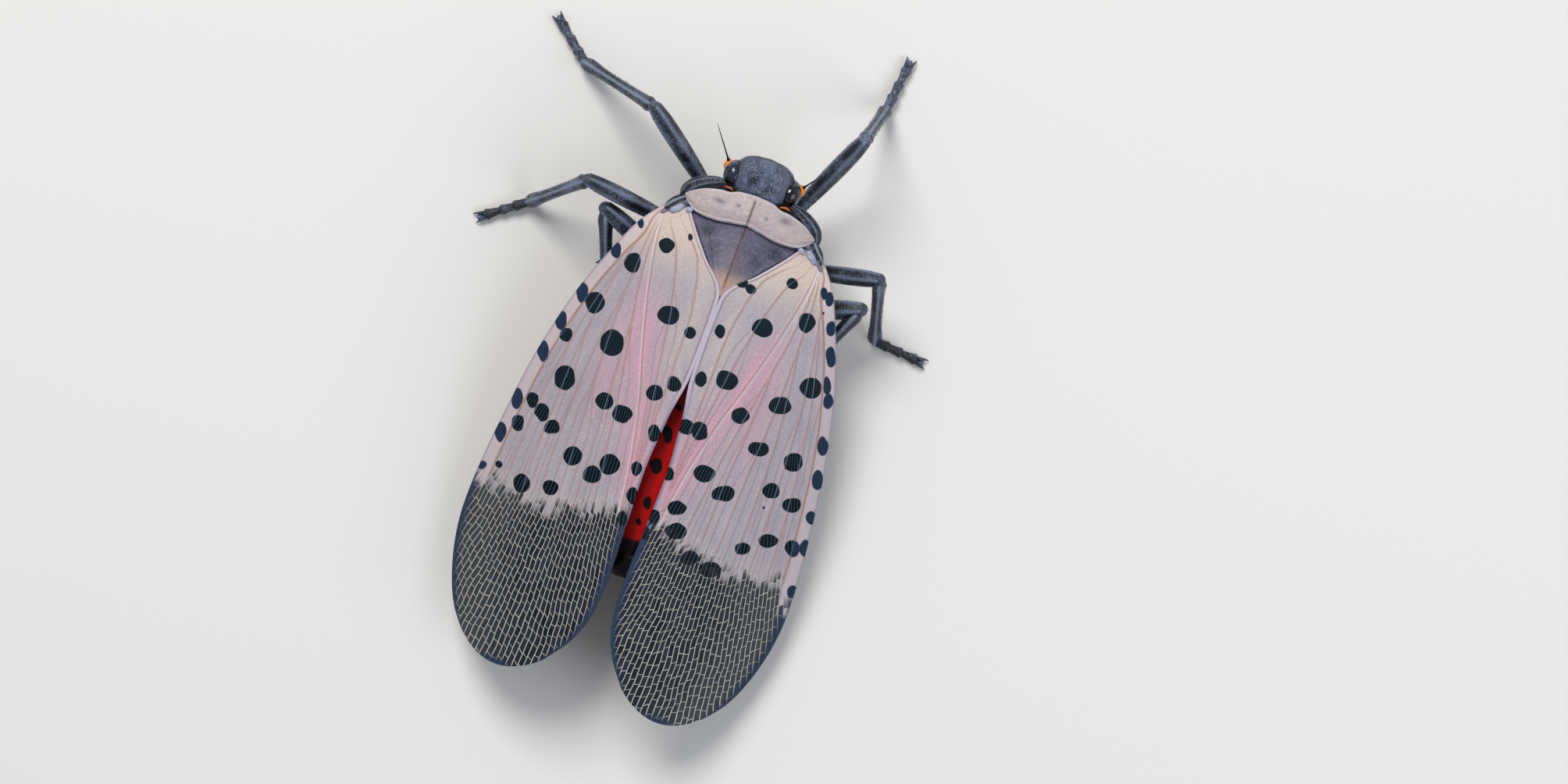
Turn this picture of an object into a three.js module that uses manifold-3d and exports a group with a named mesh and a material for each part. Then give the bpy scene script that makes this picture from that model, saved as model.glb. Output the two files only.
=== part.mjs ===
// A spotted lanternfly standing at rest, life size: a planthopper whose spotted forewings are held
// over its body like a low roof, a little parted behind, so that the folded hindwings show between.
//
// Millimetres. In the body frame +X is the insect's left, +Y runs back towards its wing tips, +Z is
// up, and the floor that its six feet stand on is at Z = 0. Y = 0 is the front edge of the pronotum.
import * as THREE from "three";
import { mergeVertices } from "three/addons/utils/BufferGeometryUtils.js";
import Module from "manifold-3d";

const wasm = await Module();
wasm.setup();

// Driving dimensions
const GAP = 0.25; // between a part and what it grows from
const MIDDLE_X = 1.05; // the model's origin in the body frame: on the floor, under the middle of its box
const MIDDLE_Y = 7.22;
const WING_LENGTH = 21.95; // to where the rounded tip begins
const WING_ROOT = 1.25;
const WING_THICK = 0.5;
const TIP_BULGE = 1.03; // how far the rounded tip reaches past WING_LENGTH
const VEIN_HALF = 0.13;
const VEIN_HIGH = 0.16;
const ROOF_SLOPE = 0.29;
const ROOF_CURVE = 0.041;
const COSTA_DROP = 0.25; // the front edge of a forewing turns down by this
const HINDWING_THICK = 0.5;
const HINDWING_DROP = WING_THICK + GAP + 0.14; // from a forewing's top to a hindwing's top
const FLESH_SIDES = 14;
const LIMB_SIDES = 8;
const SPINE_SIDES = 4;

// Colours of the parts
const COLOURS = {
  shell: 0x20242c,
  eye: 0x121419,
  antenna: 0xd06a1c,
  pronotum: 0xa39a9c,
  mesonotum: 0x4a4a57,
  tegula: 0x6f7688,
  forewing: 0xb3a5a9,
  hindwing: 0xb3160e,
  abdomen: 0x30261f,
  leg: 0x23272f,
};

// A smooth curve through [place, value] pairs, as a function of place.
function smooth(pairs) {
  const slope = (i) => {
    const a = pairs[Math.max(i - 1, 0)];
    const b = pairs[Math.min(i + 1, pairs.length - 1)];
    return (b[1] - a[1]) / (b[0] - a[0]);
  };
  return (place) => {
    const at = THREE.MathUtils.clamp(place, pairs[0][0], pairs.at(-1)[0]);
    let i = 0;
    while (i < pairs.length - 2 && at > pairs[i + 1][0]) i += 1;
    const [x0, y0] = pairs[i];
    const [x1, y1] = pairs[i + 1];
    const wide = x1 - x0;
    const s = (at - x0) / wide;
    const rest = 1 - s;
    return (
      y0 * rest * rest * (1 + 2 * s) +
      y1 * s * s * (3 - 2 * s) +
      slope(i) * wide * s * rest * rest -
      slope(i + 1) * wide * s * s * rest
    );
  };
}

// Solids
function solidOf(geometry) {
  const bare = geometry.clone();
  for (const name of ["normal", "uv"]) {
    if (bare.getAttribute(name)) bare.deleteAttribute(name);
  }
  const merged = mergeVertices(bare, 1e-4);
  const corners = new Uint32Array(merged.index.array);
  const made = new wasm.Manifold(
    new wasm.Mesh({
      numProp: 3,
      vertProperties: merged.attributes.position.array,
      triVerts: corners,
    }),
  );
  if (made.volume() >= 0) return made;
  for (let i = 0; i < corners.length; i += 3) {
    [corners[i], corners[i + 1]] = [corners[i + 1], corners[i]];
  }
  return new wasm.Manifold(
    new wasm.Mesh({
      numProp: 3,
      vertProperties: merged.attributes.position.array,
      triVerts: corners,
    }),
  );
}

// The largest closed body of a solid, with any loose scrap dropped.
function largest(solid) {
  return solid.decompose().reduce((a, b) => (a.volume() >= b.volume() ? a : b));
}

function closedMesh(points, faces) {
  const geometry = new THREE.BufferGeometry().setFromPoints(points);
  geometry.setIndex(faces.flat());
  return solidOf(geometry);
}

// A body through rings of points, closed by a fan at each end.
function loft(rings) {
  const sides = rings[0].length;
  const points = rings.flat();
  const faces = [];
  rings.slice(1).forEach((_, r) => {
    for (let i = 0; i < sides; i += 1) {
      const a = r * sides + i;
      const b = r * sides + ((i + 1) % sides);
      faces.push([a, b, b + sides], [a, b + sides, a + sides]);
    }
  });
  for (const [ring, first] of [
    [rings[0], 0],
    [rings.at(-1), (rings.length - 1) * sides],
  ]) {
    const middle = ring
      .reduce((sum, p) => sum.add(p), new THREE.Vector3())
      .divideScalar(sides);
    points.push(middle);
    for (let i = 0; i < sides; i += 1) {
      const fan = [points.length - 1, first + ((i + 1) % sides), first + i];
      faces.push(first === 0 ? fan : fan.reverse());
    }
  }
  return closedMesh(points, faces);
}

// A sheet with an upper and a lower face, each a grid of points at (row, column), split alike.
function sheet(rows, columns, upper, lower) {
  const points = [];
  for (const face of [upper, lower]) {
    for (let r = 0; r < rows; r += 1) {
      for (let c = 0; c < columns; c += 1) points.push(face(r, c));
    }
  }
  const at = (r, c) => r * columns + c;
  const under = rows * columns;
  const faces = [];
  for (let r = 0; r < rows - 1; r += 1) {
    for (let c = 0; c < columns - 1; c += 1) {
      const square = [at(r, c), at(r, c + 1), at(r + 1, c + 1), at(r + 1, c)];
      for (const [i, j, k] of [
        [0, 1, 2],
        [0, 2, 3],
      ]) {
        faces.push([square[i], square[j], square[k]]);
        faces.push([square[k] + under, square[j] + under, square[i] + under]);
      }
    }
  }
  const rim = [];
  for (let c = 0; c < columns - 1; c += 1) rim.push(at(0, c));
  for (let r = 0; r < rows - 1; r += 1) rim.push(at(r, columns - 1));
  for (let c = columns - 1; c > 0; c -= 1) rim.push(at(rows - 1, c));
  for (let r = rows - 1; r > 0; r -= 1) rim.push(at(r, 0));
  rim.forEach((a, i) => {
    const b = rim[(i + 1) % rim.length];
    faces.push([b, a, a + under], [b, a + under, b + under]);
  });
  return closedMesh(points, faces);
}

// A round limb between two points. Radii are [share of the length, radius] pairs; its ends are domed.
function limb(from, to, radii, grow = 0, sides = LIMB_SIDES) {
  const length = from.distanceTo(to);
  const radius = smooth(radii);
  const first = radii[0][1] + grow;
  const last = radii.at(-1)[1] + grow;
  const domed = sides > SPINE_SIDES;
  const profile = [new THREE.Vector2(0, -0.7 * first)];
  if (domed) profile.push(new THREE.Vector2(0.7 * first, -0.45 * first));
  for (const [share] of radii) {
    profile.push(new THREE.Vector2(radius(share) + grow, share * length));
  }
  if (domed) profile.push(new THREE.Vector2(0.7 * last, length + 0.45 * last));
  profile.push(new THREE.Vector2(0, length + 0.7 * last));
  const geometry = new THREE.LatheGeometry(profile, sides);
  const toZ = new THREE.Matrix4().makeRotationX(Math.PI / 2);
  const aim = new THREE.Matrix4().lookAt(to, from, new THREE.Vector3(0, 0, 1));
  geometry.rotateY(Math.PI / sides).applyMatrix4(toZ).applyMatrix4(aim);
  geometry.translate(from.x, from.y, from.z);
  return solidOf(geometry);
}

function ellipsoid(centre, radii, turn = 0, sides = 12) {
  const geometry = new THREE.SphereGeometry(1, sides, Math.round(sides * 0.6));
  geometry.rotateX(Math.PI / 2);
  geometry.scale(...radii.toArray());
  geometry.rotateZ(turn);
  geometry.translate(...centre.toArray());
  return solidOf(geometry);
}

// Left and right
const SIDES = [
  { name: "left", sign: 1 },
  { name: "right", sign: -1 },
];
const place = (x, y, z) => new THREE.Vector3(x, y, z);

// The roof that the wings lie in: its ridge, and its fall to each side.
const ridge = smooth([
  [0.9, 6.0],
  [2.5, 6.75],
  [4.3, 7.1],
  [8, 7.15],
  [12, 6.85],
  [16, 6.35],
  [20, 5.75],
  [23, 5.2],
]);
const roof = (x, y) => ridge(y) - ROOF_SLOPE * x - ROOF_CURVE * x * x;

// Forewing: its edges at each distance back, and the main veins as shares of the way across
const innerEdge = smooth([
  [1.25, 2.62],
  [2.2, 1.92],
  [3.2, 1.1],
  [4.1, 0.34],
  [4.7, 0.15],
  [8, 0.15],
  [10.4, 0.33],
  [12.4, 0.48],
  [15, 0.42],
  [18, 0.36],
  [19.6, 0.52],
  [20.9, 1.02],
  [21.95, 1.78],
]);
const outerEdge = smooth([
  [1.25, 3.55],
  [2.5, 4.5],
  [4, 5.2],
  [6, 5.97],
  [8, 6.52],
  [10, 6.93],
  [12, 7.2],
  [14, 7.43],
  [16, 7.57],
  [17.5, 7.55],
  [19, 7.3],
  [20.4, 6.85],
  [21.3, 6.4],
  [21.95, 5.9],
]);
const VEINS = [
  { root: 0.24, tip: 0.045, from: 1.8, to: 12 },
  { root: 0.48, tip: 0.1, from: 1.8, to: 17 },
  { root: 0.56, tip: 0.28, from: 1.8, to: 21.5 },
  { root: 0.63, tip: 0.43, from: 4.0, to: 21.5 },
  { root: 0.7, tip: 0.58, from: 1.8, to: 21.5 },
  { root: 0.79, tip: 0.75, from: 1.8, to: 21.5 },
  { root: 0.89, tip: 0.92, from: 1.8, to: 20.5 },
];

const PLAIN_COLUMNS = [0, 0.22, 0.44, 0.66, 0.86, 1].map((share) => ({
  share: () => share,
  high: () => 0,
}));

function veinColumns() {
  const width = (y) => outerEdge(y) - innerEdge(y);
  const columns = [PLAIN_COLUMNS[0]];
  for (const vein of VEINS) {
    const middle = (y) => {
      const along = (y - WING_ROOT) / (WING_LENGTH - WING_ROOT);
      return THREE.MathUtils.lerp(vein.root, vein.tip, along ** 0.55);
    };
    const rise = (y) =>
      VEIN_HIGH *
      THREE.MathUtils.smoothstep(y, vein.from, vein.from + 1.8) *
      (1 - THREE.MathUtils.smoothstep(y, vein.to - 1, vein.to));
    for (const side of [-1, 0, 1]) {
      columns.push({
        share: (y) =>
          middle(y) + side * Math.min(VEIN_HALF / width(y), 0.028),
        high: (y) => (side === 0 ? rise(y) : 0),
      });
    }
  }
  return [...columns, PLAIN_COLUMNS.at(-1)];
}

function forewing(sign, grow = 0) {
  const rows = 24;
  const columns = grow > 0 ? PLAIN_COLUMNS : veinColumns();
  const back = (r) => {
    const share = r / (rows - 1);
    return WING_ROOT + (WING_LENGTH - WING_ROOT) * (1 - (1 - share) ** 1.25);
  };
  const surface = (y, share) => {
    const tip = Math.max(0, (y - 12) / (WING_LENGTH - 12)) ** 2;
    const x = THREE.MathUtils.lerp(innerEdge(y), outerEdge(y), share);
    const reached = y + TIP_BULGE * tip * 4 * share * (1 - share);
    const turned = Math.max(0, (share - 0.86) / 0.14) ** 2;
    const low = COSTA_DROP * turned * THREE.MathUtils.smoothstep(y, 2, 6);
    return place(sign * x, reached, roof(x, reached) - low);
  };
  const normal = (y, share) => {
    const step = 0.01;
    const across = surface(y, Math.min(share + step, 1)).sub(
      surface(y, Math.max(share - step, 0)),
    );
    const along = surface(y + step, share).sub(surface(y - step, share));
    const n = across.cross(along).normalize();
    return n.z < 0 ? n.negate() : n;
  };
  const face = (lift, ridges) => (r, c) => {
    const y = back(r);
    const column = columns[c];
    const share = column.share(y);
    const raised = lift + ridges * column.high(y);
    const point = surface(y, share).addScaledVector(normal(y, share), raised);
    point.x = sign * Math.max(sign * point.x, innerEdge(y) - grow);
    return point;
  };
  return sheet(rows, columns.length, face(grow, 1), face(-WING_THICK - grow, 0));
}

// Hindwing: folded lengthwise under its forewing, the left one over the middle line
const HINDWING_FROM = 5.1;
const HINDWING_TO = 18.9;
const hindOuter = smooth([
  [5.1, 2.5],
  [8, 4.2],
  [12, 4.9],
  [16, 4.7],
  [18, 3.9],
  [18.9, 3.2],
]);
const hindInner = {
  left: smooth([
    [5.1, -0.5],
    [14, -0.5],
    [16.2, -0.3],
    [17.4, 0.5],
    [18.9, 1.9],
  ]),
  right: smooth([
    [5.1, 0.8],
    [14, 0.8],
    [16.2, 0.85],
    [17.4, 1.1],
    [18.9, 2.0],
  ]),
};

function hindwing(side, grow = 0) {
  const rows = 12;
  const columns = 13;
  const pleat = 0.07;
  const face = (drop) => (r, c) => {
    const y = THREE.MathUtils.lerp(HINDWING_FROM, HINDWING_TO, r / (rows - 1));
    const share = c / (columns - 1);
    const x = THREE.MathUtils.lerp(hindInner[side.name](y), hindOuter(y), share);
    const slant = Math.sqrt(1 + (ROOF_SLOPE + 2 * ROOF_CURVE * x) ** 2);
    const wave = c % 2 ? pleat : 0;
    const out = Math.sqrt(x * x + 0.16);
    return place(side.sign * x, y, roof(out, y) - drop * slant - wave);
  };
  return sheet(
    rows,
    columns,
    face(HINDWING_DROP - grow),
    face(HINDWING_DROP + HINDWING_THICK + grow),
  );
}

// Pronotum: the pale saddle behind the head
const PRONOTUM_HALF = 3.0;
const PLATE_THICK = 0.5;
const pronotumFront = smooth([
  [0, -0.17],
  [0.8, -0.1],
  [1.15, 0.04],
  [1.6, 0.08],
  [2.3, 0.27],
  [3.0, 0.62],
]);
const pronotumBack = smooth([
  [0, 1.2],
  [0.6, 1.3],
  [1.4, 1.42],
  [2.3, 1.36],
  [2.7, 1.14],
  [3.0, 0.84],
]);

function pronotum(grow = 0) {
  const rows = 6;
  const columns = 19;
  const half = PRONOTUM_HALF + grow;
  const face = (lift) => (r, c) => {
    const x = -half + (2 * half * c) / (columns - 1);
    const across = Math.min(Math.abs(x), PRONOTUM_HALF);
    const front = pronotumFront(across) - grow;
    const back = pronotumBack(across) + grow;
    const share = r / (rows - 1);
    const y = THREE.MathUtils.lerp(front, back, share);
    const keel = 0.1 * Math.max(0, 1 - Math.abs(x) / 0.35);
    const crown = 0.22 * Math.sin(Math.PI * THREE.MathUtils.clamp(share, 0.06, 0.9));
    const top = 6.02 + 0.12 * y + crown + keel - 0.118 * x * x;
    return place(x, y, top + lift);
  };
  return sheet(rows, columns, face(grow), face(-PLATE_THICK - grow));
}

// Mesonotum: the dark shield between the wing roots, with three keels
const MESONOTUM_HALF = 2.1;
const MESONOTUM_TIP = 4.05;

function mesonotum(grow = 0) {
  const rows = 9;
  const columns = 13;
  const keels = [0, 0.62, -0.62];
  const face = (lift) => (r, c) => {
    const share = r / (rows - 1);
    const across = (2 * c) / (columns - 1) - 1;
    const front = pronotumBack(Math.abs(across) * MESONOTUM_HALF) + GAP;
    const y = THREE.MathUtils.lerp(front - grow, MESONOTUM_TIP + grow, share);
    const half = Math.max(innerEdge(y) - 1.25 * GAP, 0.12) + grow;
    const x = across * half;
    const keel = keels.reduce(
      (sum, k) => sum + 0.09 * Math.max(0, 1 - Math.abs(across - k) / 0.17),
      0,
    );
    const lip = 0.18 * Math.exp(-((share / 0.12) ** 2));
    const top = roof(Math.abs(x), y) + 0.02 + keel * (1 - share) - lip;
    return place(x, y, top + lift);
  };
  return sheet(rows, columns, face(grow), face(-0.95 - grow));
}

// Head: broad and short, with the face turned down to the beak
const HEAD_RINGS = [
  { z: 2.15, wide: 0.36, front: -0.42, back: 0.3 },
  { z: 2.6, wide: 0.6, front: -0.82, back: 0.42 },
  { z: 3.3, wide: 0.95, front: -1.3, back: 0.42 },
  { z: 4.1, wide: 1.3, front: -1.68, back: 0.38 },
  { z: 4.8, wide: 1.42, front: -1.88, back: 0.3 },
  { z: 5.3, wide: 1.3, front: -1.9, back: 0.15 },
  { z: 5.56, wide: 1.12, front: -1.76, back: -0.05 },
  { z: 5.7, wide: 0.9, front: -1.5, back: -0.3 },
];
const HEAD_SIDES = 16;
const FACE_KEELS = [11, 13]; // the places in each ring, either side of the middle of the face
const FACE_KEEL_HIGH = 0.09;
const EYE = { x: 1.3, y: -0.76, z: 5.0, wide: 0.46, long: 0.58, high: 0.56 };

function head(grow = 0) {
  const rings = HEAD_RINGS.map(({ z, wide, front, back }, i) => {
    const ring = [];
    const end = i === 0 ? -1 : i === HEAD_RINGS.length - 1 ? 1 : 0;
    for (let s = 0; s < HEAD_SIDES; s += 1) {
      const angle = (2 * Math.PI * s) / HEAD_SIDES;
      const c = Math.cos(angle);
      const d = Math.sin(angle);
      const square = (value) => Math.sign(value) * Math.abs(value) ** 0.75;
      const keel = FACE_KEELS.includes(s) ? FACE_KEEL_HIGH : 0;
      const x = (wide + grow) * square(c);
      const y = (front + back) / 2 + ((back - front) / 2 + grow + keel) * square(d);
      ring.push(place(x, y, z + end * grow));
    }
    return ring;
  });
  const process = place(0.5 + grow, 0.42 + grow, 0.34 + grow);
  return loft(rings).add(ellipsoid(place(0, -1.48, 5.62), process));
}

// Compound eye, and the antenna below it: a round orange pedicel that bears a thin bristle
function eye(sign, grow = 0) {
  return ellipsoid(
    place(sign * EYE.x, EYE.y, EYE.z),
    place(EYE.wide + grow, EYE.long + grow, EYE.high + grow),
    sign * 0.2,
  );
}

const PEDICEL = { x: 1.62, y: -1.08, z: 4.03, radius: 0.32 };

function pedicel(sign, grow = 0) {
  const reach = PEDICEL.radius + grow;
  const middle = place(sign * PEDICEL.x, PEDICEL.y, PEDICEL.z);
  return ellipsoid(middle, place(reach, reach, reach), 0, 10);
}

function antenna(sign) {
  const root = place(sign * PEDICEL.x, PEDICEL.y, PEDICEL.z);
  const tip = place(sign * 2.75, -2.6, 4.45);
  const bristle = [
    [0, 0.25],
    [0.45, 0.23],
    [1, 0.07],
  ];
  return pedicel(sign).add(limb(root, tip, bristle, 0, 6));
}

// Beak: the sucking rostrum, folded back between the legs
function beak() {
  return limb(place(0, 0.1, 1.95), place(0, 5.2, 1.32), [
    [0, 0.32],
    [0.2, 0.3],
    [0.45, 0.25],
    [0.5, 0.28],
    [1, 0.25],
  ]);
}

// A stretch of the trunk, through rings that stand across Y
function trunk(rows, grow, squareness) {
  return loft(
    rows.map(({ y, wide, low, high }, i) => {
      const ring = [];
      const end = i === 0 ? -1 : i === rows.length - 1 ? 1 : 0;
      for (let s = 0; s < FLESH_SIDES; s += 1) {
        const angle = (2 * Math.PI * s) / FLESH_SIDES;
        const bent = (value) => Math.sign(value) * Math.abs(value) ** squareness;
        const x = (wide + grow) * bent(Math.cos(angle));
        const z = (low + high) / 2 + ((high - low) / 2 + grow) * bent(Math.sin(angle));
        ring.push(place(x, y + end * grow, z));
      }
      return ring;
    }),
  );
}

const THORAX_ROWS = [
  { y: -0.42, wide: 1.8, low: 3.2, high: 4.9 },
  { y: 0.1, wide: 2.5, low: 2.7, high: 5.2 },
  { y: 0.62, wide: 3.08, low: 2.35, high: 5.3 },
  { y: 1.1, wide: 3.25, low: 2.1, high: 5.2 },
  { y: 1.8, wide: 3.15, low: 1.95, high: 5.3 },
  { y: 2.9, wide: 2.95, low: 1.9, high: 5.35 },
  { y: 4.2, wide: 2.75, low: 1.95, high: 5.3 },
  { y: 4.9, wide: 2.4, low: 2.15, high: 4.9 },
];
const thorax = (grow = 0) => trunk(THORAX_ROWS, grow, 0.9);

// Abdomen: rings of overlapping plates, each a little proud of the next
const ABDOMEN_FROM = 5.25;
const ABDOMEN_PLATES = 7;
const PLATE_LONG = 1.62;
const abdomenWide = smooth([
  [5.2, 2.35],
  [8, 2.85],
  [11, 2.8],
  [14, 2.3],
  [16, 1.45],
  [17.4, 0.6],
]);
const abdomenHigh = smooth([
  [5.2, 4.8],
  [8, 4.85],
  [11, 4.6],
  [14, 4.25],
  [16, 3.85],
  [17.4, 3.4],
]);
const abdomenLow = smooth([
  [5.2, 2.0],
  [8, 1.75],
  [11, 1.75],
  [14, 1.9],
  [16, 2.2],
  [17.4, 2.6],
]);

function abdomen(grow = 0) {
  const rows = [];
  const step = 0.09;
  for (let plate = 0; plate < ABDOMEN_PLATES; plate += 1) {
    for (const [share, proud] of [
      [0.04, 0],
      [0.96, 1],
    ]) {
      const y = ABDOMEN_FROM + (plate + share) * PLATE_LONG;
      rows.push({
        y,
        wide: abdomenWide(y) + proud * step,
        low: abdomenLow(y) - proud * step,
        high: abdomenHigh(y) + proud * step,
      });
    }
  }
  const y = ABDOMEN_FROM + ABDOMEN_PLATES * PLATE_LONG + 0.55;
  rows.push({ y, wide: 0.55, low: 2.55, high: 3.4 });
  rows.push({ y: y + 0.4, wide: 0.3, low: 2.75, high: 3.2 });
  return trunk(rows, grow, 0.95);
}

// Tegula: the scale over each wing's hinge
function tegula(sign, grow = 0) {
  return ellipsoid(
    place(sign * 3.22, 1.3, 4.98),
    place(0.48 + grow, 0.4 + grow, 0.26 + grow),
    sign * -0.5,
    12,
  );
}

// Legs: the places of each leg's joints, for the left and the right as the insect stands
const LEGS = [
  {
    name: "fore",
    thick: 0.4,
    left: {
      hip: place(1.05, 1.0, 2.75),
      trochanter: place(1.8, 0.5, 1.85),
      knee: place(5.58, -2.32, 4.6),
      ankle: place(9.3, -3.25, 0.44),
      toe: place(10.8, -4.5, 0.22),
    },
    right: {
      hip: place(-1.05, 0.95, 2.75),
      trochanter: place(-1.6, 0.1, 1.85),
      knee: place(-3.54, -4.1, 5.3),
      ankle: place(-3.96, -5.9, 0.44),
      toe: place(-4.19, -7.85, 0.22),
    },
  },
  {
    name: "mid",
    thick: 0.38,
    left: {
      hip: place(1.6, 2.55, 2.3),
      trochanter: place(2.35, 2.2, 1.5),
      knee: place(7.2, 1.66, 4.7),
      ankle: place(9.5, 3.4, 0.44),
      toe: place(11.05, 4.55, 0.22),
    },
    right: {
      hip: place(-1.6, 2.55, 2.3),
      trochanter: place(-2.3, 2.2, 1.5),
      knee: place(-6.25, 1.37, 4.8),
      ankle: place(-7.0, 3.9, 0.44),
      toe: place(-8.95, 4.05, 0.22),
    },
  },
  {
    name: "hind",
    thick: 0.43,
    left: {
      hip: place(1.1, 4.35, 2.2),
      trochanter: place(1.75, 4.3, 1.4),
      knee: place(6.1, 2.55, 3.55),
      ankle: place(3.6, 9.4, 0.44),
      toe: place(3.3, 11.9, 0.22),
    },
    right: {
      hip: place(-1.1, 4.35, 2.2),
      trochanter: place(-1.75, 4.3, 1.4),
      knee: place(-5.95, 2.85, 3.55),
      ankle: place(-3.15, 9.3, 0.44),
      toe: place(-2.75, 11.75, 0.22),
    },
  },
];

function coxa(joints, grow = 0) {
  return limb(joints.hip, joints.trochanter, [
    [0, 0.6],
    [0.5, 0.58],
    [1, 0.4],
  ], grow);
}

function femur(joints, thick, grow = 0) {
  return limb(joints.trochanter, joints.knee, [
    [0, 0.3],
    [0.2, thick * 0.86],
    [0.6, thick],
    [0.86, thick * 0.98],
    [1, thick * 0.8],
  ], grow);
}

function tibia(joints, grow = 0) {
  return limb(joints.knee, joints.ankle, [
    [0, 0.3],
    [0.08, 0.32],
    [0.3, 0.26],
    [0.7, 0.25],
    [0.93, 0.31],
    [1, 0.27],
  ], grow);
}

// Spines along the outer side of a hind tibia, and a crown of them round its end
function spines(joints) {
  const along = joints.ankle.clone().sub(joints.knee);
  const outward = place(Math.sign(joints.knee.x), 0.25, -0.1).normalize();
  const spine = (share, way, long) => {
    const root = joints.knee.clone().addScaledVector(along, share);
    const tip = root.clone().addScaledVector(way, 0.25 + long);
    const radii = [
      [0, 0.14],
      [1, 0.04],
    ];
    return limb(root, tip, radii, 0, SPINE_SIDES);
  };
  const back = along.clone().normalize();
  const side = [0.3, 0.5, 0.68, 0.84].map((share) =>
    spine(share, outward.clone().addScaledVector(back, 0.55).normalize(), 0.3),
  );
  const crown = [-1, 1].map((turn) =>
    spine(0.97, outward.clone().multiplyScalar(turn).addScaledVector(back, 1).normalize(), 0.22),
  );
  return [...side, ...crown];
}

// A foot of three joints with a pair of claws, flat where it stands
function tarsus(joints) {
  const { ankle, toe } = joints;
  const foot = limb(ankle, toe, [
    [0, 0.25],
    [0.28, 0.27],
    [0.35, 0.21],
    [0.6, 0.27],
    [0.67, 0.21],
    [1, 0.29],
  ]);
  const along = toe.clone().sub(ankle).setZ(0).normalize();
  const claws = [-1, 1].map((turn) => {
    const across = place(-along.y, along.x, 0).multiplyScalar(turn * 0.22);
    const root = toe.clone().add(across.clone().multiplyScalar(0.6));
    const tip = toe.clone().add(across).addScaledVector(along, 0.62);
    tip.z = 0.12;
    const radii = [
      [0, 0.18],
      [1, 0.05],
    ];
    return limb(root, tip, radii, 0, SPINE_SIDES);
  });
  return claws.reduce((whole, claw) => whole.add(claw), foot);
}

// Whatever stands on the floor is cut level with it.
const LEVEL = place(0, 0, 1);
const onFloor = (solid) => solid.trimByPlane(LEVEL.toArray(), 0);

// The finished parts, in the order in which each is fitted to those before it
const parts = new THREE.Group();

function add(name, solid, colour, roughness = 0.6) {
  const mesh = largest(solid).getMesh();
  const geometry = new THREE.BufferGeometry();
  geometry.setAttribute("position", new THREE.BufferAttribute(mesh.vertProperties, 3));
  geometry.setIndex(new THREE.BufferAttribute(mesh.triVerts, 1));
  geometry.computeVertexNormals();
  const material = new THREE.MeshStandardMaterial({ color: colour, roughness });
  const part = new THREE.Mesh(geometry, material);
  part.name = name;
  parts.add(part);
}

const without = (solid, ...others) => others.reduce((left, other) => left.subtract(other), solid);

const covers = [pronotum(GAP), mesonotum(GAP)];
const tegulae = SIDES.map(({ sign }) => tegula(sign, GAP));
const sockets = SIDES.flatMap(({ sign }) => [eye(sign, GAP), pedicel(sign, GAP)]);
add("pronotum", pronotum(), COLOURS.pronotum);
add("mesonotum", mesonotum(), COLOURS.mesonotum);
add("head", without(head(), pronotum(GAP), ...sockets), COLOURS.shell, 0.45);
add("beak", without(beak(), head(GAP)), COLOURS.shell);

for (const side of SIDES) {
  const { name, sign } = side;
  add(`eye_${name}`, without(eye(sign), pronotum(GAP)), COLOURS.eye, 0.25);
  add(`antenna_${name}`, without(antenna(sign), eye(sign, GAP)), COLOURS.antenna);
  add(`tegula_${name}`, without(tegula(sign), ...covers), COLOURS.tegula);
  add(`forewing_${name}`, without(forewing(sign), ...tegulae, ...covers), COLOURS.forewing);
  add(`hindwing_${name}`, hindwing(side), COLOURS.hindwing, 0.5);
}

const wingsGrown = SIDES.flatMap((side) => [forewing(side.sign, GAP), hindwing(side, GAP)]);
const body = without(thorax(), ...covers, ...tegulae, ...wingsGrown, head(GAP), ...sockets);
add("thorax", body, COLOURS.shell);
add("abdomen", without(abdomen(), thorax(GAP), ...wingsGrown), COLOURS.abdomen);

for (const { name, thick, ...both } of LEGS) {
  for (const side of SIDES) {
    const joints = both[side.name];
    const label = `${name}_${side.name}`;
    const hip = without(coxa(joints), thorax(GAP), beak(), head(GAP));
    const thigh = without(femur(joints, thick), coxa(joints, GAP), thorax(GAP));
    const thorns = name === "hind" ? spines(joints) : [];
    const shin = thorns.reduce((whole, spine) => whole.add(spine), tibia(joints));
    add(`coxa_${label}`, hip, COLOURS.leg);
    add(`femur_${label}`, thigh, COLOURS.leg);
    add(`tibia_${label}`, onFloor(without(shin, femur(joints, thick, GAP))), COLOURS.leg);
    add(`tarsus_${label}`, onFloor(without(tarsus(joints), tibia(joints, GAP))), COLOURS.leg);
  }
}

parts.position.set(-MIDDLE_X, -MIDDLE_Y, 0);
const lanternfly = new THREE.Group().add(parts);

export default lanternfly;
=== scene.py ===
"""The looks of a life-size spotted lanternfly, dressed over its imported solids.

Lengths in this file are millimetres of the body frame, unless a name says otherwise: +X is the
insect's left, +Y runs back to its wing tips, the floor is at Z = 0, and Y = 0 is the front edge of
the pronotum. Points turn into metres of the shared frame where a mesh is made.
"""

import bpy
import numpy as np
from mathutils import Matrix, Vector, noise

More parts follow.
